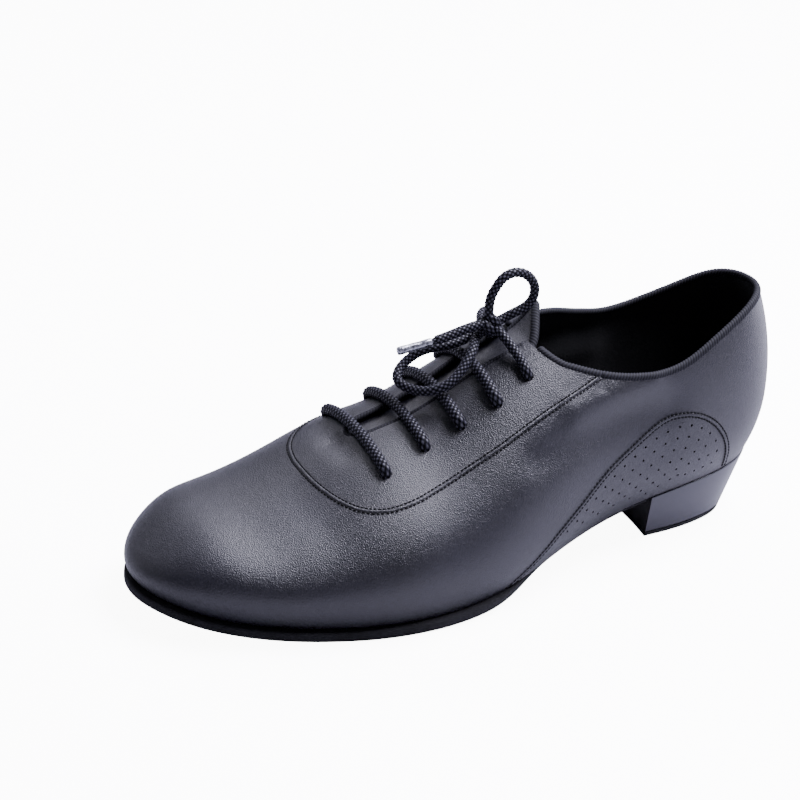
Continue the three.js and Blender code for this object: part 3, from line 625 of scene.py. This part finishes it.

# %% [markdown]
# A few creases are placed where the leather is pulled: a soft fold that runs forward from
# the collar's lowest point, with a hollow below it, a short pucker under the collar, and a dip where
# the throat ends. Each is a line on the surface with a width and a height, and the surface rises or
# sinks by the height times a bell curve of the distance to the line.

# %% Creases
CREASES = [
    # side, width, height, then (share, level) along the line
    (1, 6.0, 1.25, [(0.265, 0.35), (0.312, 0.375), (0.357, 0.395), (0.395, 0.415)]),
    (1, 7.5, -1.5, [(0.235, 0.20), (0.273, 0.233), (0.32, 0.25), (0.368, 0.265), (0.42, 0.3),
                    (0.465, 0.33)]),
    (1, 1.2, -0.6, [(0.347, 0.475), (0.3475, 0.45), (0.348, 0.425)]),
    (-1, 6.5, 1.0, [(0.27, 0.36), (0.315, 0.38), (0.36, 0.4)]),
    (-1, 8.0, -1.2, [(0.24, 0.21), (0.30, 0.24), (0.37, 0.27), (0.44, 0.31)]),
    (1, 5.0, -1.1, [(0.694, 0.86), (0.696, 0.94), (0.696, 1.0)]),
    (-1, 5.0, -1.1, [(0.694, 0.86), (0.696, 0.94), (0.696, 1.0)]),
    (1, 9.0, -0.35, [(0.765, 0.45), (0.77, 0.62), (0.775, 0.8)]),
    (1, 10.0, 0.35, [(0.80, 0.5), (0.81, 0.7), (0.812, 0.9)]),
]


def distance_to_line(points, line):
    """The shortest distance from each point to a chain of straight pieces."""
    a, b = line[:-1], line[1:]
    reach = points[:, None] - a
    along = np.clip((reach * (b - a)).sum(-1) / ((b - a) ** 2).sum(-1), 0, 1)
    return np.linalg.norm(reach - along[..., None] * (b - a), axis=-1).min(1)


def crease_height(points):
    """How far the leather stands off the last at each point, in millimetres."""
    flat = points.reshape(-1, 3)
    total = np.zeros(len(flat))
    for side, width, height, places in CREASES:
        share, level = np.array(places).T
        line = last_at(share, np.full(len(share), float(side)), level)
        total += height * np.exp(-(distance_to_line(flat, line) / width) ** 2)
    return total.reshape(points.shape[:-1])


def skin_at(share, side, level):
    """The leather's outside and its normal: the last, moved along its normal by the creases."""
    share, side, level = np.broadcast_arrays(*(np.asarray(v, float) for v in (share, side, level)))
    base, out = last_at(share, side, level), normal_at(share, side, level)
    return base + crease_height(base)[..., None] * out, out


print("creases:", len(CREASES))

# %% [markdown]
# The leather is a grid of columns from heel to toe and rows from the feather to the edge, one grid
# for each side, welded where they meet. Columns stand closer together at the throat's round end. A
# Solidify modifier gives the wall its thickness inwards, with the lining as its inner face.

# %% Upper shell
quarter = np.linspace(0, np.pi / 2, 15)
throat_end = THROAT_FRONT - (1 - np.cos(quarter)) * THROAT_HALF_GAP / LENGTH
stations = np.concatenate([
    share_of(np.linspace(0, angle_of(THROAT_BACK), 105)),
    np.linspace(THROAT_BACK, throat_end[-1], 46)[1:], throat_end[::-1][1:],
    share_of(np.linspace(angle_of(THROAT_FRONT), np.pi, 86))[1:]])
low_rows, high_rows = np.linspace(-1, 0, 15)[:-1], np.linspace(0, 1, 55)
points, faces = [], []
for side in (1.0, -1.0):
    edge = edge_level(stations, side)
    level = np.concatenate([np.broadcast_to(low_rows, (len(stations), len(low_rows))),
                            high_rows * edge[:, None]], 1)
    share = np.broadcast_to(stations[:, None], level.shape)
    base = last_at(share, side, level)
    out = np.cross(np.gradient(base, axis=1), np.gradient(base, axis=0)) * side
    out /= np.maximum(np.linalg.norm(out, axis=-1, keepdims=True), 1e-9)
    skin = base + crease_height(base)[..., None] * out
    ring = grid_faces(*level.shape) + len(points) * level.size
    faces.append(ring if side > 0 else ring[:, ::-1])
    points.append(skin.reshape(-1, 3))
upper = show("upper_leather", np.concatenate(points), np.concatenate(faces),
             [grained_leather, black_lining, cut_edge_and_hole_shade], closed=False)
wall = upper.modifiers.new("wall", "SOLIDIFY")
wall.thickness, wall.offset = UPPER_WALL * MM, -1.0
wall.material_offset, wall.material_offset_rim = 1, 1

# %% [markdown]
# ## Seams and perforations
# Seen from above, one seam runs forward from the collar, round in front of the throat and back:
# it joins the facings to the vamp. A second seam on each side bounds a perforated panel over the
# arch. Both have two rows of stitches about 1.8 mm apart. We place each seam by a few points: the
# first by x and y from above, the second by x and z from the side.

# %% Seam lines
FACING_SEAM_NEAR = [
    [210.4, -7.9], [210.4, 1.4], [209, 12], [206.5, 20], [203.2, 26.4], [199.2, 31], [194.3, 34.2],
    [188.8, 35.9], [180.4, 36.3], [173.2, 35.4], [158, 34.1], [144.2, 33.7], [125.4, 31.3],
    [108.4, 28.6], [98.1, 26.8], [93, 26],
]
FACING_SEAM_FAR = [
    [210.1, -10.4], [208.5, -17], [204.9, -23.6], [199.5, -28.9], [193.2, -32.4], [186, -34],
    [178, -34.2], [165, -32.8], [150, -30], [135, -27.4], [120, -25.6], [108, -24.8], [98, -24.4],
    [93, -24.2],
]
ARCH_SEAM = [
    [143.9, 7.1], [132.9, 14.6], [122, 24.4], [109.3, 33.4], [96.3, 42.7], [82.8, 49.9],
    [72.9, 54.8], [62.7, 57.6], [52.3, 56.6], [42.4, 51.4], [35.2, 43.6], [30.6, 34.4], [28.2, 24.2],
]


def plan_path(points, spacing):
    """A line on the leather from places seen from above, as far as it stays below the edge."""
    line, _ = path_through(np.c_[points, np.zeros(len(points))], spacing)
    share = line[:, 0] / LENGTH
    side = np.where(line[:, 1] > section(share)[2], 1.0, -1.0)
    level = level_beside(share, side, np.abs(line[:, 1] - section(share)[2]))
    keep = level < edge_level(share, side) + 1e-6
    return share[keep], side[keep], np.minimum(level[keep], 0.995)


def side_path(points, side, spacing):
    """A line on the leather from places seen from the side."""
    points = np.asarray(points, float)
    line, _ = path_through(np.c_[points[:, 0], 0 * points[:, 0], points[:, 1]], spacing)
    share = line[:, 0] / LENGTH
    feather = section(share)[5]
    keep = line[:, 2] > feather + 0.4
    return share[keep], np.full(keep.sum(), side), level_at_height(share, line[:, 2])[keep]


def even_steps(points, normals, spacing, start=0.0):
    """Places at even steps along a line, with its direction, normal and the way across it."""
    run = run_along(points)
    at = np.arange(start, run[-1], spacing)
    place, out = between(at, run, points), between(at, run, normals)
    ahead = unit(np.gradient(place, axis=0))
    out = unit(out - ahead * (out * ahead).sum(-1, keepdims=True))
    return place, ahead, out, np.cross(out, ahead)


facing_seam = plan_path(FACING_SEAM_FAR[::-1] + FACING_SEAM_NEAR, 0.5)
arch_seams = {side: side_path(ARCH_SEAM, side, 0.5) for side in (1.0, -1.0)}
SEAMS = {"facing": facing_seam, "arch_near": arch_seams[1.0], "arch_far": arch_seams[-1.0]}
print({name: len(line[0]) for name, line in SEAMS.items()})

# %% [markdown]
# Between its two rows of stitches the leather puffs up a little. A low welt, an ellipse carried
# along the seam and half sunk in the leather, gives that. A stitch is a small capsule that lies
# in the surface, and all stitches of a seam are one mesh.

# %% Welts and stitches
STITCH_PITCH, STITCH_LENGTH, STITCH_THICKNESS, ROW_APART = 1.75, 1.3, 0.66, 0.95
WELT_STEP, WELT_HALF_WIDTH, WELT_HEIGHT = 0.8, 0.72, 0.34

turns = np.linspace(0, 2 * np.pi, 8, endpoint=False)
ends = np.array([-1, -0.85, -0.45, 0.45, 0.85, 1.0])
swell = np.sqrt(np.maximum(1 - ends ** 4, 0))
CAPSULE = np.stack([np.broadcast_to(ends[:, None] / 2, (6, 8)), swell[:, None] * np.cos(turns) / 2,
                    swell[:, None] * np.sin(turns) / 2], -1).reshape(-1, 3)
CAPSULE_FACES = grid_faces(6, 8, around=True)


def copies(shape, faces, size, places, axes):
    """One shape at many places: its points times its size along three directions at each place."""
    points = places[:, None] + np.einsum("nk,mkd->mnd", shape * size, np.stack(axes, 1))
    first = len(shape) * np.arange(len(places))[:, None, None]
    return points.reshape(-1, 3), (faces[None] + first).reshape(-1, 4)


for name, (share, side, level) in SEAMS.items():
    line, out = skin_at(share, side, level)
    place, ahead, up, across = even_steps(line, out, WELT_STEP)
    fade = round_ends(np.arange(len(place)) * WELT_STEP, 1.0)[:, None, None]
    oval = rings(across, up, 14, WELT_HALF_WIDTH, WELT_HEIGHT)
    tube(f"seam_welt_{name}", place - 0.05 * up, fade * oval, grained_leather, "upper_leather")
    rows = []
    for row in (-1, 1):
        place, ahead, up, across = even_steps(line, out, STITCH_PITCH, 0.4 + 0.3 * row)
        rows.append(copies(CAPSULE, CAPSULE_FACES, [STITCH_LENGTH, STITCH_THICKNESS, STITCH_THICKNESS],
                           place + row * ROW_APART * across + 0.08 * up, (ahead, across, up)))
    merged = np.concatenate([rows[0][1], rows[1][1] + len(rows[0][0])])
    show(f"stitches_{name}", np.concatenate([rows[0][0], rows[1][0]]), merged, [stitch_thread],
         "upper_leather")

# %% [markdown]
# The panel over the arch is punched with holes of 1.1 mm, about 6 mm apart, in rows that follow its
# seam and are staggered. They let the foot breathe. Each row is the seam moved inwards on the
# leather: a short step square to the line, then back onto the surface at the same x and z.

# %% Places of the perforations
HOLE_PITCH, ROW_PITCH, FIRST_ROW, HOLE_DIAMETER, HOLE_DEPTH = 6.0, 4.9, 4.4, 1.1, 1.0
# how far a hole keeps from the feather, from the seam beyond its own row, and from other holes
FEATHER_ROOM, SEAM_ROOM, HOLE_ROOM = 2.4, -0.7, 3.4


def moved_inwards(share, side, level, distance):
    """A line on the side of the shoe, moved down and inwards on the leather in small steps."""
    for _ in range(12):
        line, out = skin_at(share, side, level)
        inward = np.cross(unit(np.gradient(line, axis=0)), out) * side[:, None]
        line = line + inward * distance / 12
        share = line[:, 0] / LENGTH
        level = level_at_height(share, line[:, 2])
    return share, side, level


holes = []
for side, seam in arch_seams.items():
    seam_line, kept = skin_at(*seam)[0], []
    for row in range(6):
        distance = FIRST_ROW + row * ROW_PITCH
        line, out = skin_at(*moved_inwards(*seam, distance))
        place, _, up, _ = even_steps(line, out, HOLE_PITCH, 2.0 + HOLE_PITCH / 2 * (row % 2))
        above = place[:, 2] - section(place[:, 0] / LENGTH)[5]
        beside = np.linalg.norm(place[:, None] - seam_line[None], axis=-1).min(1)
        free = (above > FEATHER_ROOM) & (beside > distance + SEAM_ROOM)
        for p, n in zip(place[free], up[free]):
            if all(np.linalg.norm(p - q) > HOLE_ROOM for q in kept):
                kept.append(p)
                holes.append((p, n, HOLE_DIAMETER / 2, HOLE_DEPTH))
print("perforations:", len(holes))

# %% [markdown]
# The eyelets are blind: only holes in the leather, with the lace filling them. They and the
# perforations are cut with a Boolean modifier, all with one cutter, because cut holes have clean
# round rims that a grid could not give.

# %% Cut the holes
for share, near, far in EYELETS:
    for side, distance in ((1, near), (-1, far)):
        place, out = skin_at(share, side, level_beside(share, side, distance))
        holes.append((place, out, EYELET_DIAMETER / 2, EYELET_DEPTH))

cut_points, cut_faces, count = [], [], 0
for place, out, radius, depth in holes:
    sides = 20 if radius > 2 else 8
    across = unit(np.cross(out, [0.31, 0.2, 0.93]))
    ring = radius * rings(across[None], np.cross(out, across)[None], sides)[0]
    cut_points.append(np.concatenate([place + ring + 1.2 * out, place + ring - depth * out]))
    low, high = (count + start + np.arange(sides) for start in (0, sides))
    cut_faces += np.stack([low, np.roll(low, -1), np.roll(high, -1), high], -1).tolist()
    cut_faces += [low[::-1].tolist(), high.tolist()]
    count += 2 * sides
cutter = show("hole_cutter", np.concatenate(cut_points), cut_faces,
              [grained_leather, black_lining, cut_edge_and_hole_shade])
# The cutter's faces become the walls and floors of the holes, in the near-black finish: dark cut edges,
# and painted shade on the floors of the blind perforations.
cutter.data.polygons.foreach_set("material_index", np.full(len(cutter.data.polygons), 2, np.int32))
punch = upper.modifiers.new("holes", "BOOLEAN")
punch.operation, punch.object, punch.solver = "DIFFERENCE", cutter, "EXACT"
made = bpy.data.meshes.new_from_object(upper.evaluated_get(bpy.context.evaluated_depsgraph_get()))
upper.modifiers.clear()
upper.data = made
made.shade_smooth()
made.set_sharp_from_angle(angle=math.radians(38))
bpy.data.objects.remove(cutter)
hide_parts("upper")
print("upper:", len(made.polygons), "faces after cutting", len(holes), "holes")

# %% [markdown]
# ## Bindings
# The raw edges of the collar and of the throat are bound with a soft twill tape, folded over the
# edge so that it looks like a small cord. Its ribs run slantwise, because the tape is cut on the
# bias to follow the curve. The tape's section is an oval square to the edge, and the ribs are waves
# that wind round it.

# %% Tape material
bias_twill = finish("bias_cut_cotton_twill", "#101014", 0.7, Specular_IOR_Level=0.22)
ribs = add(bias_twill, "Attribute", attribute_name="relief").outputs["Fac"]
# Cotton hardly shines: the ribs are painted pale on the crest, a painted highlight, and black in the
# groove, painted shade.
add(bias_twill, "ValToRGB", {"Fac": ribs}, "Base Color", [(0, "#010102"), (1, "#2a2a32")])
uneven(bias_twill, 2800.0, 2.0, 0.3, 0.0002)

TAPE_STEP, RIB_PITCH, RIB_DEPTH = 0.3, 1.35, 0.16
COLLAR_TAPE, FACING_TAPE, TONGUE_TAPE = (1.5, 1.75), (1.25, 1.45), (1.4, 1.9)
EDGE_SHIFT, TONGUE_SHIFT = 0.7, 2.7


def taped(name, edge, out, rising, size, nodes, shift):
    """An oval carried along an edge, half width outwards and half height along the rising way, with
    ribs that wind round it; shift lowers it over the edge."""
    place, ahead, up, _ = even_steps(edge, out, TAPE_STEP)
    run = np.arange(len(place)) * TAPE_STEP
    high = np.cross(ahead, up)
    source = between(np.linspace(0, 1, len(place)), np.linspace(0, 1, len(rising)), rising)
    high *= np.sign((high * source).sum())
    turn = np.linspace(0, 2 * np.pi, 22, endpoint=False)
    rib = 0.5 + 0.5 * np.cos(3 * turn + 2 * np.pi * run[:, None] / RIB_PITCH)
    swell = (1 - RIB_DEPTH * (1 - rib)) * round_ends(run, 1.2)[:, None]
    tube(name, place + (size[1] - shift) * high, swell[..., None] * rings(up, high, 22, *size),
         bias_twill, "binding_tape", nodes, relief=rib)


def edge_line(turn):
    """The upper's edge from its places as angles: below 0 on the far side, with the way outwards
    and the way up the wall. It lies in the middle of the wall."""
    side, share = np.where(turn < 0, -1.0, 1.0), share_of(np.abs(turn))
    level = edge_level(share, side)
    edge, out = skin_at(share, side, np.minimum(level, 0.995))
    up = edge - skin_at(share, side, np.minimum(level, 0.995) - 0.02)[0]
    return edge - out * UPPER_WALL / 2, out, up


collar_turn = np.linspace(-1, 1, 420) * float(angle_of(THROAT_BACK - 1.0 / LENGTH))
taped("collar_twill_binding", *edge_line(collar_turn), COLLAR_TAPE, ["collar_binding"], EDGE_SHIFT)
throat = np.concatenate([np.linspace(THROAT_BACK + 0.004, throat_end[-1], 60), throat_end[::-1][1:-1]])
near, far = edge_line(angle_of(throat)), edge_line(-angle_of(throat))
taped("facing_twill_binding", *(np.concatenate([a, b[::-1]]) for a, b in zip(near, far)), FACING_TAPE,
      ["facing_binding"], EDGE_SHIFT)

# %% [markdown]
# ## The tongue
# The tongue is a thin strip of the same leather, bound with the same tape at its top. It lies under
# the lacing and stands up a little past it, where the foot slides in.

# %% Tongue
TONGUE_THICKNESS, TONGUE_HALF_WIDTH, TONGUE_FLARE = 2.0, 18.0, 9.0
TONGUE_BACK, TONGUE_FRONT = 0.4, 0.7
TONGUE_SLANT, TONGUE_ROUND, TONGUE_TOP_WIDTH = 0.018, 0.008, 0.65
TONGUE_DEPTH = UPPER_WALL + 3 * CLEARANCE


def tongue_at(u, v, depth):
    """The dome under the throat: v runs across in shares of the half width, and the corners at both
    ends are rounded off; depth goes inwards, and the top flares up."""
    share = mix(TONGUE_BACK + TONGUE_SLANT * v + TONGUE_ROUND * v ** 6, TONGUE_FRONT, u)
    widen = step(TONGUE_BACK, mix(TONGUE_BACK, TONGUE_FRONT, 0.4), share)
    narrow = mix(TONGUE_TOP_WIDTH, 1, widen) * (1 - 0.12 * (1 - u) ** 12 - 0.3 * u ** 12)
    distance = v * TONGUE_HALF_WIDTH * narrow
    side = np.where(distance < 0, -1.0, 1.0)
    level = np.minimum(level_beside(share, side, np.abs(distance)), 0.9994)
    p = last_at(share, side, level) - (TONGUE_DEPTH + depth)[..., None] * normal_at(share, side, level)
    past = (THROAT_BACK - share) / (THROAT_BACK - TONGUE_BACK + TONGUE_SLANT)
    p[..., 2] += TONGUE_FLARE * np.clip(past, 0, 1) ** 1.6
    return p


u, w = np.linspace(0, 1, 90), np.linspace(0, 2 * np.pi, 92, endpoint=False)
across = np.cos(w) * (2 - np.abs(np.cos(w)))
depth = TONGUE_THICKNESS / 2 * (1 - np.sign(np.sin(w)) * np.abs(np.sin(w)) ** 0.25)
along, across, deep = np.broadcast_arrays(u[:, None], across[None], depth[None])
close = tongue_at(along[[0, -1]], across[[0, -1]], 0 * deep[[0, -1]] + TONGUE_THICKNESS / 2)
body = np.concatenate([close[:1], tongue_at(along, across, deep), close[1:]])
show("tongue_leather", body, grid_faces(len(body), len(w), around=True), [grained_leather],
     "tongue_leather", ["tongue"])

# the tape's line: up one side of the tongue, over its top and down the other side
down, over = np.linspace(0.3, 0, 40), np.linspace(1, -1, 80)
rim = np.concatenate([np.c_[down, 0 * down + 1], np.c_[0 * over, over][1:-1],
                      np.c_[down, 0 * down - 1][::-1]])
middle = np.full(len(rim), TONGUE_THICKNESS / 2)
rim_edge = tongue_at(rim[:, 0], rim[:, 1], middle)
rim_out = tongue_at(rim[:, 0], rim[:, 1], 0 * middle) - rim_edge
rim_up = rim_edge - tongue_at(rim[:, 0] + 0.02, rim[:, 1] * 0.9, middle)
taped("tongue_twill_binding", rim_edge, unit(rim_out), rim_up, TONGUE_TAPE, (), TONGUE_SHIFT)

# %% [markdown]
# ## Sole, insole and heel
# Each is a flat piece that follows the feather line. The outline is moved out or in by a margin,
# and the rim is rounded. The suede under the ball has its nap raised with a wire brush, so its edge
# is a little furry.

# %% Suede and heel materials
brushed_suede = finish("brushed_suede", "#08080b", 0.96, Sheen_Weight=0.12, Sheen_Roughness=0.6,
                       Sheen_Tint=srgb("#6d6d78"))
where, _ = uneven(brushed_suede, 1600.0, 5.0, 0.8, 0.0005, Roughness=0.75)
# The nap lies this way and that, so the suede is blotched in blacks, with a faint sheen at grazing.
brushed = add(brushed_suede, "TexNoise",
              {"Vector": where, "Scale": 60.0, "Detail": 4.0, "Distortion": 1.2})
add(brushed_suede, "ValToRGB", {"Fac": brushed}, "Base Color", [(0.35, "#08080a"), (0.7, "#1b1b1f")])

# The heel's cover is smoother than the upper and mirrors the floor, and its colour is painted paler
# than the upper's leather, a painted reflection of the bright floor on it; its breast is painted and
# dull.
heel_cover_painted_paler = finish("smooth_covered_heel", "#32323c", 0.34, Coat_Weight=0.25, Coat_Roughness=0.2)
uneven(heel_cover_painted_paler, 1700.0, 3.0, 0.12, 0.0002)
breast_black = finish("painted_heel_breast", "#0b0b0e", 0.7)

# %% Flat pieces
SOLE_MARGIN, WAIST_THICKNESS, WAIST_INSET, INSOLE_THICKNESS, NAP = 2.6, 3.0, 2.0, 2.5, 0.4
HEEL_BREAST, HEEL_MARGIN, HEEL_TAPER, HEEL_RAKE, BREAST_RAKE = 0.235, 0.4, 3.0, 7.0, -1.0
BREAST_HOLLOW, BREAST_FADE, LIFT_THICKNESS = 2.0, 8, 2.0


def feather_at(share, side, margin):
    return last_at(share, side, -1.0) + margin[..., None] * plan_normal(share, side)


def rim_profile(rim, thickness, across=26, corner=6):
    """From the middle over the top, round the rim and back under: how far across, how high and how
    far in, with a quarter circle at both corners."""
    flat, bend = np.linspace(0, 1, across), np.linspace(0, np.pi / 2, corner)
    sine, cosine = rim * (1 - np.sin(bend)), rim * (1 - np.cos(bend))
    a = np.r_[flat, np.ones(2 * corner - 1), flat[::-1][1:]]
    inset = np.r_[np.full(across, rim), sine[1:], cosine, np.full(across - 1, rim)]
    drop = np.r_[np.zeros(across), cosine[1:], thickness - sine, np.full(across - 1, thickness)]
    return a, 1 - drop / thickness, inset


def slab(name, shares, place, rim, thickness, materials, slot, node, cap=None):
    """Both sides of a flat piece, welded along the middle. place gives a point from its share of the
    length, side, way across, height and inset. A cap closes the first or the last column."""
    a, high, inset = rim_profile(rim, thickness)
    steps = np.zeros(len(shares))
    if cap == "first":
        shares, steps = np.r_[np.full(8, shares[0]), shares], np.r_[np.linspace(1, 0, 9)[:-1], steps]
    if cap == "last":
        shares, steps = np.r_[shares, np.full(8, shares[-1])], np.r_[steps, np.linspace(0, 1, 9)[1:]]
    points, faces = [], []
    for side in (1.0, -1.0):
        level = mix(high[None], 0.5, steps[:, None])
        grid = place(shares[:, None] + 0 * level, side + 0 * level, a[None] + 0 * level, level,
                     inset[None] + 0 * level)
        ring = grid_faces(*level.shape) + len(points) * level.size
        faces.append(ring if side > 0 else ring[:, ::-1])
        points.append(grid.reshape(-1, 3))
    return show(name, np.concatenate(points), np.concatenate(faces), materials, slot, [node])


def layer(margin, low, high):
    """A place function for a layer between two heights over the feather."""
    def place(share, side, a, level, inset):
        near, far = (feather_at(share, side * s, margin(share) - inset) for s in (1, -1))
        p = mix((near + far) / 2, near, a[..., None])
        p[..., 2] += mix(low(share), high(share), level)
        return p
    return place


breast_angle = float(angle_of(HEEL_BREAST + CLEARANCE / LENGTH))
slab("suede_outsole", share_of(np.linspace(breast_angle, np.pi, 170)),
     layer(lambda s: mix(-WAIST_INSET, SOLE_MARGIN + NAP, step(0.4, 0.58, s)),
           lambda s: -CLEARANCE - mix(WAIST_THICKNESS, SOLE_THICKNESS, step(0.4, 0.6, s)),
           lambda s: -CLEARANCE + 0 * s),
     0.9, SOLE_THICKNESS, [brushed_suede], "sole_suede", "outsole", "first")
# The insole reaches into the wall by half its thickness, so that no light comes in at the waist.
slab("lined_insole", share_of(np.linspace(0, np.pi, 110)),
     layer(lambda s: -UPPER_WALL / 2 + 0 * s, lambda s: 0 * s, lambda s: INSOLE_THICKNESS + 0 * s),
     0.8, INSOLE_THICKNESS, [black_lining], "insole_lining", "insole")


def heel_place(bottom, top):
    """A place function for the heel: it tapers and rakes forward as it goes down, and the middle of
    its breast is hollowed."""
    def place(share, side, a, level, inset):
        seat = section(share)[5] - CLEARANCE
        z = mix(bottom, seat if top is None else top, level)
        down = (seat - z) / seat
        margin = HEEL_MARGIN - HEEL_TAPER * down - inset
        near, far = (feather_at(share, side * s, margin) for s in (1, -1))
        p = mix((near + far) / 2, near, a[..., None])
        u = angle_of(share) / float(angle_of(HEEL_BREAST))
        hollow = BREAST_HOLLOW * (1 - a * a) * u ** BREAST_FADE
        p[..., 0] += down * mix(BREAST_RAKE, HEEL_RAKE, 1 - share / HEEL_BREAST) - hollow
        p[..., 2] = z
        return p
    return place


heel_shares = share_of(np.linspace(0, float(angle_of(HEEL_BREAST)), 60))
heel = slab("covered_heel", heel_shares, heel_place(LIFT_THICKNESS + CLEARANCE, None), 0.5, 22.0,
            [heel_cover_painted_paler, breast_black], "heel_cover", "heel_block", "last")
normals = np.zeros(len(heel.data.polygons) * 3)
heel.data.polygons.foreach_get("normal", normals)
heel.data.polygons.foreach_set("material_index", (normals.reshape(-1, 3)[:, 0] > 0.9).astype(np.int32))
heel.data.set_sharp_from_angle(angle=math.radians(50))
slab("suede_top_lift", heel_shares, heel_place(0.0, LIFT_THICKNESS), 0.35, LIFT_THICKNESS,
     [brushed_suede], "sole_suede", "heel_top_lift", "last")

# %% [markdown]
# ## The studio
# Black leather shows its surroundings, so the lights make its tones. A panel overhead, towards the
# heel, lights the facings, and a wide one on the far side gives the broad highlight on the vamp.
# Weak panels at the toe and the heel soften the rims, and the room on the camera's side stays dim,
# which leaves the dark band along the outer side. The photographed shoe was cut out on white, so
# the paper floor looks white to the camera, while the shoe itself sees it as a grey one.

# %% Floor and lights
floor_mesh = bpy.data.meshes.new("pale_floor")
reach = 6.0
corners = [(-reach, -reach, 0), (reach, -reach, 0), (reach, reach, 0), (-reach, reach, 0)]
floor_mesh.from_pydata(corners, [], [(0, 1, 2, 3)])
pale_paper = finish("pale_paper", "#f6f6f8", 0.9, Emission_Color=srgb("#ffffff"))
seen = add(pale_paper, "LightPath").outputs["Is Camera Ray"]
add(pale_paper, "ValToRGB", {"Fac": seen}, "Base Color", [(0, "#c2c2cc"), (1, "#fbfbfd")])
add(pale_paper, "Math", {0: seen, 1: 10.0}, "Emission Strength", operation="MULTIPLY")
floor_mesh.materials.append(pale_paper)
floor = bpy.data.objects.new("pale_floor", floor_mesh)
floor.location.z = -0.0004
bpy.context.scene.collection.objects.link(floor)
floor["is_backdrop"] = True

world = bpy.data.worlds.new("soft_studio")
world.use_nodes = True
room = world.node_tree.nodes["Background"].inputs
room["Color"].default_value, room["Strength"].default_value = srgb("#e0e0fa"), 0.085
bpy.context.scene.world = world


def soft_panel(name, place, size, power):
    """A light of two sizes in metres at a place, facing the shoe, a little cooler than white."""
    light = bpy.data.lights.new(name, "AREA")
    light.shape, light.size, light.size_y, light.energy = "RECTANGLE", *size, power
    light.color = srgb("#efedff")[:3]
    panel = bpy.data.objects.new(name, light)
    aim = (Vector((0, 0, 0.04)) - Vector(place)).to_track_quat("-Z", "Y")
    panel.matrix_world = Matrix.Translation(place) @ aim.to_matrix().to_4x4()
    bpy.context.scene.collection.objects.link(panel)


soft_panel("overhead_panel", (-0.52, 0.0, 0.98), (0.6, 0.6), 42)
soft_panel("far_panel", (-0.15, -0.95, 0.95), (1.2, 0.5), 10.5)
soft_panel("toe_panel", (1.0, -0.9, 0.5), (0.5, 0.5), 1.5)
soft_panel("heel_panel", (-0.98, -0.1, 0.2), (0.4, 0.4), 5)

# %% Sizes of the dressed shoe
low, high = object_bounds()
print("dressed shoe from", [round(v, 4) for v in low], "to", [round(v, 4) for v in high])
